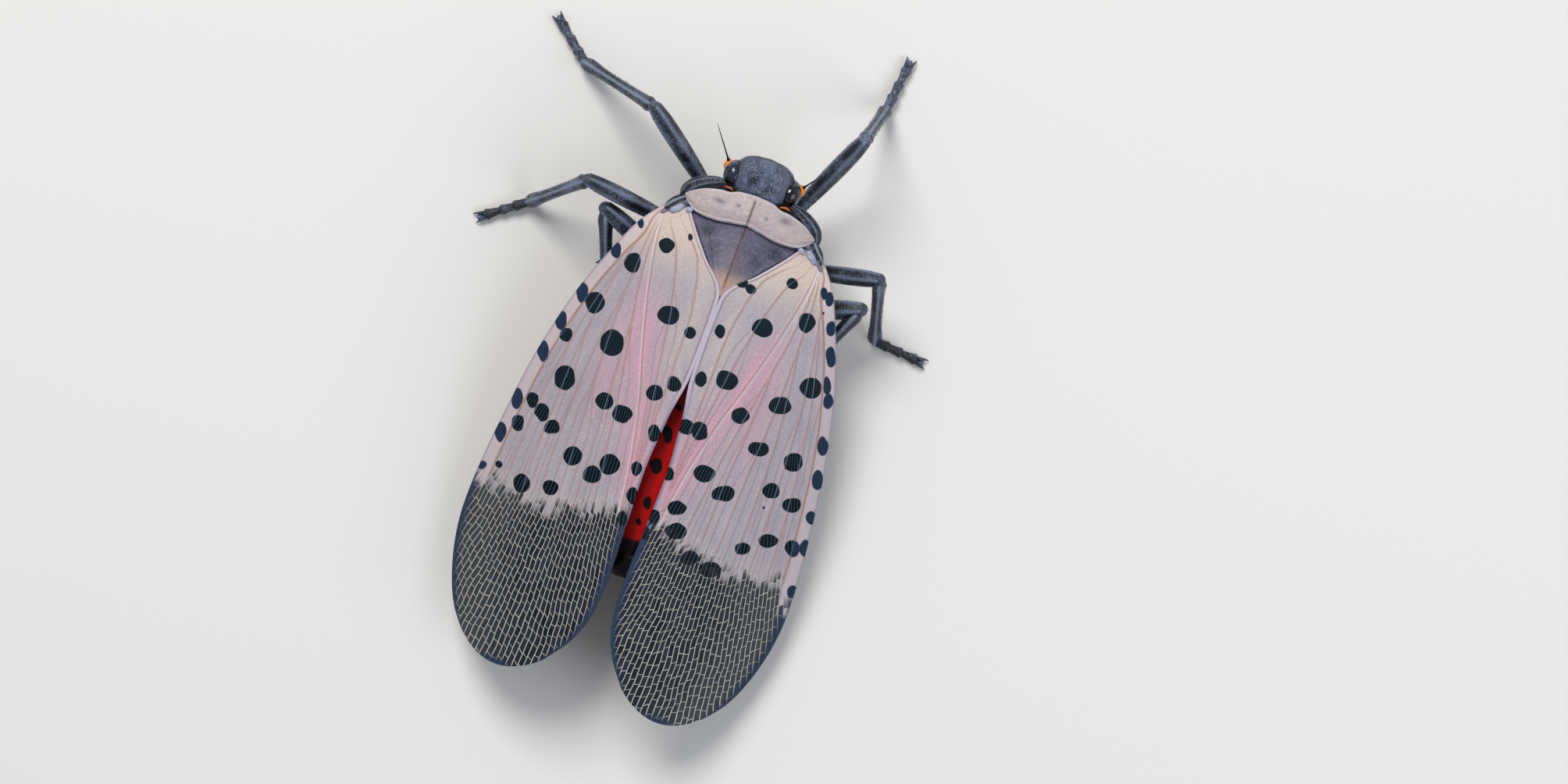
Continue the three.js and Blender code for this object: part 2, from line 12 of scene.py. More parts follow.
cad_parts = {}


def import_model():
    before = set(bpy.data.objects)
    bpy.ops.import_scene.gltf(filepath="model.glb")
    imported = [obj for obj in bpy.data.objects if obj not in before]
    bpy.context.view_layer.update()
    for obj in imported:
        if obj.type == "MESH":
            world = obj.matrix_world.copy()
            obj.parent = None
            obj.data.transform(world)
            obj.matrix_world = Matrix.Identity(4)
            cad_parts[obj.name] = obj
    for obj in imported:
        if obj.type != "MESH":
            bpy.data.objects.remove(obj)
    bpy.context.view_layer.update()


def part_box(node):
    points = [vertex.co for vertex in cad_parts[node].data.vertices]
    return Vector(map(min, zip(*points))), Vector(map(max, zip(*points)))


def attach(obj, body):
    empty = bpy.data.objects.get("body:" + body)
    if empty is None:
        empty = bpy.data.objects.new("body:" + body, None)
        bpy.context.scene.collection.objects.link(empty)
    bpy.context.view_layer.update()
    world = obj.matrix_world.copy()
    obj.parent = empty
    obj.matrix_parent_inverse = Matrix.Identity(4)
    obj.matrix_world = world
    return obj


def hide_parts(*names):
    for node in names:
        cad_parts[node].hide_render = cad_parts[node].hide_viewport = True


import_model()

MM = 0.001
RNG = np.random.default_rng(7)

# The way from the body frame to the shared one, found by the pronotum's solid
PRONOTUM_FRONT = -0.17
PRONOTUM_LOW, PRONOTUM_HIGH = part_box("pronotum")
SHIFT = np.array([(PRONOTUM_LOW.x + PRONOTUM_HIGH.x) / 2 / MM, PRONOTUM_LOW.y / MM - PRONOTUM_FRONT, 0])

# The photograph: its scale, the body's place in it, and the lean of the body's axis
PHOTO_WIDE = 2008
PHOTO_HIGH = 1004
PIXELS_PER_MM = 29.5
BODY_PIXEL = (968, 256)
LEAN = np.radians(20.2)

SIDES = {"left": 1, "right": -1}
UP = np.array([0, 0, 1])


# Curves and rings

def smooth(*pairs):
    """A smooth curve through (place, value) pairs, as a function of place."""
    at, to = np.array(pairs, float).T
    before = np.maximum(np.arange(len(at)) - 1, 0)
    after = np.minimum(np.arange(len(at)) + 1, len(at) - 1)
    slope = (to[after] - to[before]) / (at[after] - at[before])

    def curve(place):
        x = np.clip(place, at[0], at[-1])
        i = np.clip(np.searchsorted(at, x, side="right") - 1, 0, len(at) - 2)
        wide = at[i + 1] - at[i]
        s = (x - at[i]) / wide
        rest = 1 - s
        return (
            to[i] * rest**2 * (1 + 2 * s)
            + to[i + 1] * s**2 * (3 - 2 * s)
            + slope[i] * wide * s * rest**2
            - slope[i + 1] * wide * s**2 * rest
        )

    return curve


def curves(rows):
    """A smooth curve for each column of a table, over its first column."""
    return [smooth(*[(row[0], row[k]) for row in rows]) for k in range(1, len(rows[0]))]


def step(value, low, high):
    s = np.clip((value - low) / (high - low), 0, 1)
    return s * s * (3 - 2 * s)


def bell(away, wide):
    return np.exp(-((away / wide) ** 2))


def blob(x, y, at, wide, long):
    return np.exp(-(((x - at[0]) / wide) ** 2) - ((y - at[1]) / long) ** 2)


def ripple(points, scale, seed):
    """Smooth noise between about -1 and 1 at each point."""
    flat = points.reshape(-1, 3) * scale + seed
    values = np.array([noise.noise(Vector(p)) for p in flat])
    return values.reshape(points.shape[:-1])


def boxy(value, power):
    """A sine or cosine bent so that its circle comes nearer to a box."""
    return np.sign(value) * np.abs(value) ** power


def unit(vectors):
    return vectors / np.linalg.norm(vectors, axis=-1, keepdims=True)


def circle(count):
    return np.linspace(0, 2 * np.pi, count, endpoint=False)


def grid(rows, columns):
    return np.meshgrid(rows, columns, indexing="ij")


def xyz(x, y, z):
    """Points from their coordinates."""
    return np.stack(np.broadcast_arrays(x, y, z), -1)


def mirrored(place, sign):
    return np.array(place) * (sign, 1, 1)


# Meshes

def added(name, data):
    """A new object of the scene."""
    thing = bpy.data.objects.new(name, data)
    bpy.context.scene.collection.objects.link(thing)
    return thing


def piece(name, points, faces, material, nodes=(), attributes=None):
    mesh = bpy.data.meshes.new(name)
    placed = (np.array(points) + SHIFT) * MM
    mesh.from_pydata(placed.tolist(), [], faces)
    mesh.shade_smooth()
    for key, values in (attributes or {}).items():
        values = np.asarray(values, float)
        three = values.ndim > 1 and values.shape[1] == 3
        layer = mesh.attributes.new(key, "FLOAT_VECTOR" if three else "FLOAT", "POINT")
        layer.data.foreach_set("vector" if three else "value", values.ravel())
    mesh.update()
    mesh.materials.append(material)
    thing = added(name, mesh)
    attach(thing, "root")
    if nodes:
        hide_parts(*nodes)
    return thing


class Parts:
    """Several closed forms gathered into one mesh, each with a tint at its points."""

    def __init__(self):
        self.points = []
        self.faces = []
        self.tint = []

    def add(self, points, faces, tint=0):
        start = len(self.points)
        self.points.extend(points.tolist())
        self.faces.extend([tuple(i + start for i in f) for f in faces])
        self.tint.extend(np.broadcast_to(tint, len(points)).tolist())

    def make(self, name, material, nodes=()):
        return piece(name, self.points, self.faces, material, nodes, {"tint": self.tint})


def loft(rings):
    """Points and faces of a closed form through rings of points (ring, place, 3)."""
    count, sides = rings.shape[:2]
    points = np.concatenate([rings.reshape(-1, 3), [rings[0].mean(0)], [rings[-1].mean(0)]])
    front_middle = count * sides
    last_ring = front_middle - sides
    faces = []
    for ring in range(0, last_ring, sides):
        for i in range(sides):
            j = (i + 1) % sides
            faces.append((ring + i, ring + j, ring + sides + j, ring + sides + i))
    for i in range(sides):
        j = (i + 1) % sides
        faces.append((front_middle, j, i))
        faces.append((front_middle + 1, last_ring + i, last_ring + j))
    a, b, c = points[list(faces[0][:3])]
    outward = a - rings[:2].reshape(-1, 3).mean(0)
    if np.dot(np.cross(b - a, c - a), outward) < 0:
        faces = [f[::-1] for f in faces]
    return points, faces


def sheet(upper, lower):
    """Points and faces of a closed sheet between two grids of points (row, column, 3)."""
    rows, columns = upper.shape[:2]
    under = rows * columns
    points = np.concatenate([upper.reshape(-1, 3), lower.reshape(-1, 3)])
    r, c = grid(np.arange(rows - 1), np.arange(columns - 1))
    a = (r * columns + c).ravel()
    quads = np.stack([a, a + 1, a + columns + 1, a + columns], 1)
    rim = list(range(columns))
    rim += [r * columns + columns - 1 for r in range(1, rows)]
    rim += [(rows - 1) * columns + c for c in range(columns - 2, -1, -1)]
    rim += [r * columns for r in range(rows - 2, 0, -1)]
    wall = [(b, a, a + under, b + under) for a, b in zip(rim, rim[1:] + rim[:1])]
    faces = np.concatenate([quads, quads[:, ::-1] + under, np.array(wall)])
    a, b, d = (points[i] for i in quads[0][[0, 1, 3]])
    if np.cross(b - a, d - a)[2] < 0:
        faces = faces[:, ::-1]
    return points, faces.tolist()


def both_faces(*values):
    """Values at a sheet's upper points, repeated for its lower ones."""
    columns = np.stack([value.ravel() for value in values], -1)
    return np.concatenate([columns, columns])


POLE = 0.04


def ball(centre, radii, around=40, down=24, turn=0.0):
    """Points and faces of an ellipsoid, whose poles are small flat ends."""
    t, a = grid(np.linspace(POLE, np.pi - POLE, down), circle(around))
    x = radii[0] * np.sin(t) * np.cos(a)
    y = radii[1] * np.sin(t) * np.sin(a)
    z = radii[2] * np.cos(t)
    c, s = np.cos(turn), np.sin(turn)
    return loft(xyz(x * c - y * s, x * s + y * c, z) + centre)


def tube(path, radii, sides=20, ridges=0, ridge=0.0, up=UP):
    """A round form along a path of points, with a radius at each, ribbed lengthwise."""
    along = unit(np.gradient(path, axis=0))
    side = unit(np.cross(along, up))
    top = np.cross(side, along)
    angle = circle(sides)
    reach = radii[:, None] * (1 + ridge * np.cos(ridges * angle))
    across = side[:, None, :] * (reach * np.cos(angle))[..., None]
    upward = top[:, None, :] * (reach * np.sin(angle))[..., None]
    return loft(path[:, None, :] + across + upward)


# A limb's rounded ends: (how far past the end, radius), as shares of the end's own radius
ROUNDED_END = ((0.35, 0.8), (0.6, 0.35))


def bar(start, end, profile, steps=18, **shape):
    """A straight limb with rounded ends, whose radius follows (share of length, radius) pairs."""
    start, end = np.array([start, end], float)
    first, last = profile[0][1], profile[-1][1]
    share = np.linspace(0, 1, steps)
    way = unit(end - start)
    far, slim = np.array(ROUNDED_END).T
    before = start - np.outer(first * far[::-1], way)
    after = end + np.outer(last * far, way)
    line = np.concatenate([before, start + np.outer(share, end - start), after])
    radii = np.concatenate([first * slim[::-1], smooth(*profile)(share), last * slim])
    return tube(line, radii, **shape)


# Materials

def as_light(colour, share=1):
    """The light that a colour stands for. Its red, green and blue run from 0 to 255, as they look."""
    looks = np.array(colour) / 255
    steep = ((looks + 0.055) / 1.055) ** 2.4
    return (*np.where(looks <= 0.04045, looks / 12.92, steep) * share, 1)


class Signal:
    """A value inside a material. Sums and products of signals turn into nodes."""

    def __init__(self, finish, socket):
        self.finish = finish
        self.socket = socket

    def __add__(self, other):
        return self.finish.math("ADD", self, other)

    def __sub__(self, other):
        return self.finish.math("SUBTRACT", self, other)

    def __rsub__(self, other):
        return self.finish.math("SUBTRACT", other, self)

    def __mul__(self, other):
        return self.finish.math("MULTIPLY", self, other)

    def __abs__(self):
        return self.finish.math("ABSOLUTE", self)

    def floor(self):
        return self.finish.math("FLOOR", self)

    def most(self, other):
        return self.finish.math("MAXIMUM", self, other)

    def least(self, other):
        return self.finish.math("MINIMUM", self, other)


class Finish:
    """A procedural material, with short names for the nodes that it is made of."""

    def __init__(self, name, roughness=0.5, specular=0.5):
        self.material = bpy.data.materials.new(name)
        self.material.use_nodes = True
        self.tree = self.material.node_tree
        self.shader = self.tree.nodes["Principled BSDF"].inputs
        self.shader["Roughness"].default_value = roughness
        self.shader["Specular IOR Level"].default_value = specular
        self.ground = None
        self.relief = None
        place = self.node("TexCoord", {}, "Object")
        self.place = self.node("VectorMath", {0: place, "Scale": 1 / MM}, operation="SCALE")

    def put(self, socket, value):
        if isinstance(value, Signal):
            self.tree.links.new(value.socket, socket)
        elif isinstance(value, tuple) and len(value) == 3:
            socket.default_value = as_light(value)
        else:
            socket.default_value = value

    def node(self, kind, inputs, output=0, **settings):
        """The signal from a new node, whose inputs are given by name or place."""
        node = self.tree.nodes.new("ShaderNode" + kind)
        for key, value in settings.items():
            setattr(node, key, value)
        for key, value in inputs.items():
            self.put(node.inputs[key], value)
        return Signal(self, node.outputs[output])

    def math(self, operation, *values):
        return self.node("Math", dict(enumerate(values)), operation=operation)

    def vector(self, operation, *values):
        return self.node("VectorMath", dict(enumerate(values)), operation=operation)

    def number(self, name):
        return self.node("Attribute", {}, "Fac", attribute_name=name)

    def triple(self, name):
        return self.node("Attribute", {}, "Vector", attribute_name=name)

    def split(self, vector):
        node = self.tree.nodes.new("ShaderNodeSeparateXYZ")
        self.put(node.inputs[0], vector)
        return [Signal(self, socket) for socket in node.outputs]

    def join(self, *values):
        return self.node("CombineXYZ", dict(enumerate(values)))

    def mix(self, share, a, b):
        """One colour turning into another. Inputs 6 and 7 and output 2 are the node's colours."""
        return self.node("Mix", {0: share, 6: a, 7: b}, 2, data_type="RGBA")

    def cover(self, share, colour):
        """Lays a colour over the ground that is there so far."""
        self.ground = self.mix(share, self.ground, colour)

    def band(self, value, low, high, to_low=0.0, to_high=1.0):
        limits = {"From Min": low, "From Max": high, "To Min": to_low, "To Max": to_high}
        return self.node("MapRange", {"Value": value, **limits}, interpolation_type="SMOOTHSTEP")

    def near(self, value, low, high, most=1.0):
        """The most where a value is below the low limit, and nothing above the high one."""
        return self.band(value, low, high, most, 0.0)

    def noise(self, scale, detail=3, place=None, rough=0.5):
        inputs = {"Vector": place or self.place, "Scale": scale, "Detail": detail, "Roughness": rough}
        return self.node("TexNoise", inputs, "Fac")

    def cells(self, scale):
        return self.node("TexVoronoi", {"Vector": self.place, "Scale": scale}, "Distance")

    def bump(self, height, deep):
        """Relief from a height of 0 to 1 that stands for a depth in millimetres."""
        inputs = {"Distance": deep * MM, "Height": height}
        if self.relief:
            inputs["Normal"] = self.relief
        self.relief = self.node("Bump", inputs)
        self.put(self.shader["Normal"], self.relief)

    def rough(self, value):
        self.put(self.shader["Roughness"], value)

    def done(self):
        """The finished material, in the colour of its ground."""
        self.put(self.shader["Base Color"], self.ground)
        return self.material


def dark_cuticle(name, base, bloom, amount, grain, roughness):
    """Blue-black cuticle, mottled with a powdery grey bloom in grains a few hundredths across."""
    look = Finish(name, roughness)
    grains = look.noise(grain, 5, rough=0.7)
    fine = look.cells(13)
    both = look.noise(1.1, 4) * 0.55 + grains * 0.45
    powder = look.band(both, 0.62 - 0.24 * amount, 0.78 - 0.16 * amount)
    powder = powder * look.band(fine, 0.1, 0.75, 1, 0.25)
    shade = look.mix(look.noise(2.3, 2), base, as_light(base, 0.45))
    # The tint attribute pulls towards the bloom colour; on ribs, wrinkles and the head's crown it carries
    # painted highlights and shade.
    tinted = look.mix(look.number("tint"), shade, bloom)
    look.ground = look.mix(powder, tinted, bloom)
    look.bump(fine, 0.025)
    look.bump(grains, 0.04)
    look.rough(look.band(powder, 0, 1, roughness - 0.12, roughness + 0.25))
    return look.done()


# The roof that the wings lie in, and the forewing's edges, as in the solids

ROOF_SLOPE = 0.29
ROOF_CURVE = 0.041
WING_ROOT = 1.25
WING_LENGTH = 21.93
TIP_BULGE = 1.03
TIP_FROM = 12
COSTA_DROP = 0.25
COSTA_FROM = 0.86
ridge = smooth(
    (0.9, 6.0), (2.5, 6.75), (4.3, 7.1), (8, 7.15), (12, 6.85), (16, 6.35), (20, 5.75), (23, 5.2),
)
inner_edge = smooth(
    (1.25, 2.62), (2.2, 1.92), (3.2, 1.1), (4.1, 0.34), (4.7, 0.15), (8, 0.15), (10.4, 0.33),
    (12.4, 0.48), (15, 0.42), (18, 0.36), (19.6, 0.52), (20.9, 1.02), (21.95, 1.78),
)
outer_edge = smooth(
    (1.25, 3.55), (2.5, 4.5), (4, 5.2), (6, 5.97), (8, 6.52), (10, 6.93), (12, 7.2),
    (14, 7.43), (16, 7.57), (17.5, 7.55), (19, 7.3), (20.4, 6.85), (21.3, 6.4), (21.95, 5.9),
)


def roof(x, y):
    return ridge(y) - ROOF_SLOPE * x - ROOF_CURVE * x * x


# Forewing: the membrane, its veins and its markings

WING_ROWS = 390
WING_COLUMNS = 122
ROWS_CROWD = 1.25
MEMBRANE = 0.16
VEIN_RISE = 0.05
VEIN_WIDE = 0.06
RIM_RISE = 0.05
SUTURE_GROOVE = 0.03
WAVE = 0.03
MARGIN_CLOSER = 0.13
COSTAL_STRIP = 0.62
NET_COLUMNS = 84.0
NET_ROWS = 1.95

# A distance that stands for no vein or spot near
FAR = 9.0

# Main veins, as (distance back, distance out) pairs, from the costal side to the inner one
MAIN_VEINS = (
    ((1.2, 3.3), (2.1, 3.95), (3, 4.1), (4, 4.58), (6, 5.35), (9, 6.14), (12, 6.58), (15.4, 6.9)),
    ((4.6, 4.6), (6, 4.98), (8, 5.42), (11, 5.85), (15.6, 6.15)),
    ((1.2, 3.3), (2.1, 3.85), (4, 4.4), (7, 4.9), (10, 5.15), (15.7, 5.3)),
    ((5.5, 3.97), (7, 4.2), (9, 4.4), (11, 4.5), (15.7, 4.5)),
    ((1.2, 3.3), (2.1, 3.75), (5, 3.93), (8, 3.95), (11, 3.8), (15.6, 3.62)),
    ((6.6, 3.25), (8, 3.2), (10, 3.1), (12, 2.98), (15.4, 2.85)),
    ((1.2, 3.3), (2.1, 3.65), (5, 3.5), (8, 3.0), (11, 2.5), (15.2, 2.0)),
    ((1.2, 3.3), (2.1, 3.55), (5, 3.08), (7.8, 2.36), (10, 1.7), (12.5, 1.15), (14.8, 0.82)),
    ((1.2, 3.3), (2.1, 3.2), (3.2, 2.5), (5.6, 1.85), (8.2, 1.45), (11, 1.02), (13, 0.8)),
    ((1.2, 3.1), (1.9, 2.75), (2.5, 2.12), (3.25, 1.5), (5.5, 0.97), (8.2, 0.88), (10.6, 0.78), (12.4, 0.8)),
)
SUTURE = 7

# Finer veins: the two main ones they run between, where they fork off the first, and their share
FINE_VEINS = (
    (0, 1, 6.5, 0.5), (1, 2, 8.2, 0.5), (2, 3, 7.4, 0.36), (3, 2, 10.2, 0.36), (4, 3, 8.8, 0.5),
    (4, 5, 9.6, 0.52), (5, 6, 8.6, 0.34), (6, 5, 10.8, 0.36), (6, 7, 7.0, 0.36), (7, 6, 9.4, 0.3),
    (1, 0, 11.4, 0.28), (8, 7, 5.2, 0.4), (8, 9, 4.4, 0.5), (2, 1, 11.6, 0.27),
)
FORK_LONG = 2.6
FINE_END = 15.4

# Where the net of the wing's end starts, and how much farther back it does on the costal strip
net_edge = smooth((0.4, 14.5), (1.2, 14.7), (2.6, 15.2), (4.2, 15.6), (5.5, 15.55), (7.5, 15.1))
STRIP_LATER = {"left": 0.3, "right": 1.1}

# Each spot as measured on the photograph, in pixels: middle across, middle down, width, height
SPOTS = {
    "left": (
        (853, 314, 20, 20), (884, 303, 7, 11), (819, 285, 10, 13), (787, 319, 15, 22),
        (809, 336, 21, 27), (743, 373, 17, 27), (760, 387, 25, 29), (855, 404, 29, 25),
        (882, 426, 14, 16), (715, 409, 17, 27), (723, 428, 17, 19), (692, 449, 17, 28),
        (783, 439, 31, 34), (721, 483, 27, 33), (861, 491, 17, 20), (838, 503, 21, 22),
        (657, 510, 16, 27), (678, 513, 16, 20), (773, 513, 25, 22), (691, 528, 19, 25),
        (705, 547, 21, 19), (796, 530, 27, 23), (659, 542, 17, 21), (635, 553, 15, 27),
        (838, 554, 17, 23), (732, 584, 25, 25), (757, 608, 23, 23), (780, 595, 27, 27),
        (815, 600, 15, 19), (611, 597, 13, 11), (634, 596, 8, 11), (664, 620, 23, 25),
        (703, 625, 21, 21), (810, 635, 15, 23), (796, 664, 12, 20),
    ),
    "right": (
        (953, 364, 13, 13), (963, 371, 13, 13), (1015, 363, 15, 13), (1056, 375, 9, 16),
        (1063, 383, 11, 20), (1056, 401, 4, 4), (925, 425, 14, 17), (977, 420, 29, 23),
        (1034, 413, 21, 25), (1065, 421, 12, 21), (1065, 457, 14, 28), (901, 487, 14, 19),
        (932, 488, 28, 25), (1039, 497, 27, 29), (1060, 494, 11, 22), (1062, 514, 13, 22),
        (999, 520, 31, 25), (948, 533, 24, 21), (879, 547, 19, 21), (896, 552, 21, 25),
        (972, 575, 27, 19), (1055, 572, 15, 26), (902, 607, 28, 21), (1016, 593, 27, 25),
        (856, 607, 16, 19), (1048, 617, 15, 27), (926, 633, 31, 20), (988, 630, 23, 20),
        (1014, 649, 25, 20), (867, 651, 23, 19), (837, 662, 15, 19), (979, 651, 4, 4),
        (1040, 666, 13, 19), (865, 681, 28, 21), (827, 683, 11, 19), (983, 695, 26, 17),
        (951, 704, 21, 17), (1016, 705, 19, 21), (1032, 706, 15, 23), (882, 715, 24, 19),
        (909, 731, 29, 21), (1016, 763, 15, 18),
    ),
}
SPOT_WOBBLE_PIXELS = 2.2


def pixel_of(x, y):
    """Where a place on the insect's back shows in the photograph."""
    across = -x * np.cos(LEAN) - y * np.sin(LEAN)
    down = -x * np.sin(LEAN) + y * np.cos(LEAN)
    return BODY_PIXEL[0] + across * PIXELS_PER_MM, BODY_PIXEL[1] + down * PIXELS_PER_MM


def spot_distance(points, spots):
    """Millimetres outside the nearest spot's rim, less than nothing inside it."""
    across, down = pixel_of(points[..., 0], points[..., 1])
    flat = points * (1, 1, 0)
    across = across + SPOT_WOBBLE_PIXELS * ripple(flat, 2.1, 5.0)
    down = down + SPOT_WOBBLE_PIXELS * ripple(flat, 2.1, 9.0)
    nearest = np.full(across.shape, FAR)
    for px, py, wide, high in spots:
        reach = np.hypot((across - px) / (wide / 2), (down - py) / (high / 2))
        nearest = np.minimum(nearest, (reach - 1) * min(wide, high) / 2 / PIXELS_PER_MM)
    return nearest


def line_distance(x, y, path, start, end):
    """Millimetres to one side of a line that runs back along a path, and far past its ends."""
    slope = (path(y + 0.02) - path(y - 0.02)) / 0.04
    away = (x - path(y)) / np.hypot(1, slope)
    return np.where((y < start) | (y > end), np.copysign(FAR, away), away)


def vein_distance(x, y, pairs):
    return line_distance(x, y, smooth(*pairs), pairs[0][0], pairs[-1][0])


def fork_distance(x, y, first, second, start, share):
    """The distance to a finer vein that leaves one main vein to run between two."""
    a, b = smooth(*MAIN_VEINS[first]), smooth(*MAIN_VEINS[second])

    def path(at):
        return a(at) + (b(at) - a(at)) * share * step(at, start, start + FORK_LONG)

    return line_distance(x, y, path, start, FINE_END)


def wing_surface(y, share, sign):
    tip = np.maximum(0, (y - TIP_FROM) / (WING_LENGTH - TIP_FROM)) ** 2
    x = inner_edge(y) + (outer_edge(y) - inner_edge(y)) * share
    reached = y + TIP_BULGE * tip * 4 * share * (1 - share)
    turned = np.maximum(0, (share - COSTA_FROM) / (1 - COSTA_FROM)) ** 2
    return xyz(sign * x, reached, roof(x, reached) - COSTA_DROP * turned * step(y, 2, 6))


def forewing(side, sign, material):
    crowded = 1 - (1 - np.linspace(0, 1, WING_ROWS)) ** ROWS_CROWD
    back = WING_ROOT + (WING_LENGTH - WING_ROOT) * crowded
    y, s = grid(back, np.linspace(0, 1, WING_COLUMNS))
    base = wing_surface(y, s, sign)
    x, reached = np.abs(base[..., 0]), base[..., 1]
    width = (outer_edge(back) - inner_edge(back))[:, None]
    inner_rim, outer_rim = s * width, (1 - s) * width
    to_tip = (WING_LENGTH + TIP_BULGE - reached) + 4 * (s - 0.5) ** 2
    rim = np.minimum(np.minimum(inner_rim, outer_rim), to_tip)
    mains = [vein_distance(x, reached, vein) for vein in MAIN_VEINS]
    fines = [fork_distance(x, reached, *fork) for fork in FINE_VEINS]

    # Relief: ridges over the main veins, a raised inner rim, and a groove beside the suture
    strength = step(y, 2.0, 4.0) * (1 - step(y, 14, 16))
    rise = VEIN_RISE * bell(np.min(np.abs(mains), axis=0), VEIN_WIDE) * strength
    rise = rise + RIM_RISE * bell(inner_rim - 0.08, VEIN_WIDE) * (1 - step(y, 8.6, 10.5))
    rise = rise - SUTURE_GROOVE * bell(mains[SUTURE] - 0.12, 0.07) * strength
    rise = rise + WAVE * ripple(base, 0.55, 3.0) * step(rim, 0, 1)
    normal = unit(np.cross(np.gradient(base, axis=1), np.gradient(base, axis=0)))
    normal[normal[..., 2] < 0] *= -1
    upper = base + normal * (rise - 0.03)[..., None]
    lower = upper - normal * MEMBRANE * (0.45 + 0.55 * step(rim, 0.0, 0.12))[..., None]

    # The two wings' inner margins close up over the middle of the body
    closer = MARGIN_CLOSER * step(y, 3.0, 4.0) * (1 - step(y, 8.2, 10.2))
    for layer in (upper, lower):
        layer[..., 0] = sign * np.maximum(sign * layer[..., 0], inner_edge(y) - 0.02)
        layer[..., 0] -= sign * closer * (1 - s) ** 6
    points, faces = sheet(upper, lower)

    # What the material reads at each point
    fan = np.arctan2(x - 3.0, reached - 1.0)
    net = reached - net_edge(x) + 0.28 * ripple(base * (1, 1, 0), 1.6, 2.0)
    net = net - STRIP_LATER[side] * (1 - step(outer_rim, 0.48, 0.62))
    suture = bell(mains[SUTURE], 0.75) * step(y, 4, 6.5) * (1 - step(y, 12.5, 15))
    pink = 0.75 * suture + 0.5 * blob(x, y, (3.4, 9.0), 0.8, 2.6) + 0.6 * blob(x, y, (0.8, 12.2), 0.5, 2.4)
    cream = 1.1 * (1 - step(y, 1.6, 5.2)) + 0.4 * blob(x, y, (0.9, 6.4), 0.5, 2.2)
    marks = {
        "edges": both_faces(rim, inner_rim, outer_rim),
        "lattice": both_faces(fan, reached, net),
        "tones": both_faces(np.clip(pink, 0, 1), np.clip(cream, 0, 1), spot_distance(base, SPOTS[side])),
    }
    for name, group in (("main", mains), ("fine", fines)):
        group = group + [np.full_like(x, FAR)] * (-len(group) % 3)
        for k in range(0, len(group), 3):
            marks[f"{name}_{k // 3}"] = both_faces(*group[k:k + 3])
    return piece(f"wing_{side}", points, faces, material, [f"forewing_{side}"], marks)


def nearest_vein(look, group, veins):
    """Millimetres to the nearest vein of a group, three of which share each attribute."""
    count = (len(veins) + 2) // 3
    away = [look.vector("ABSOLUTE", look.triple(f"{group}_{k}")) for k in range(count)]
    for other in away[1:]:
        away[0] = look.vector("MINIMUM", away[0], other)
    x, y, z = look.split(away[0])
    return x.least(y).least(z)


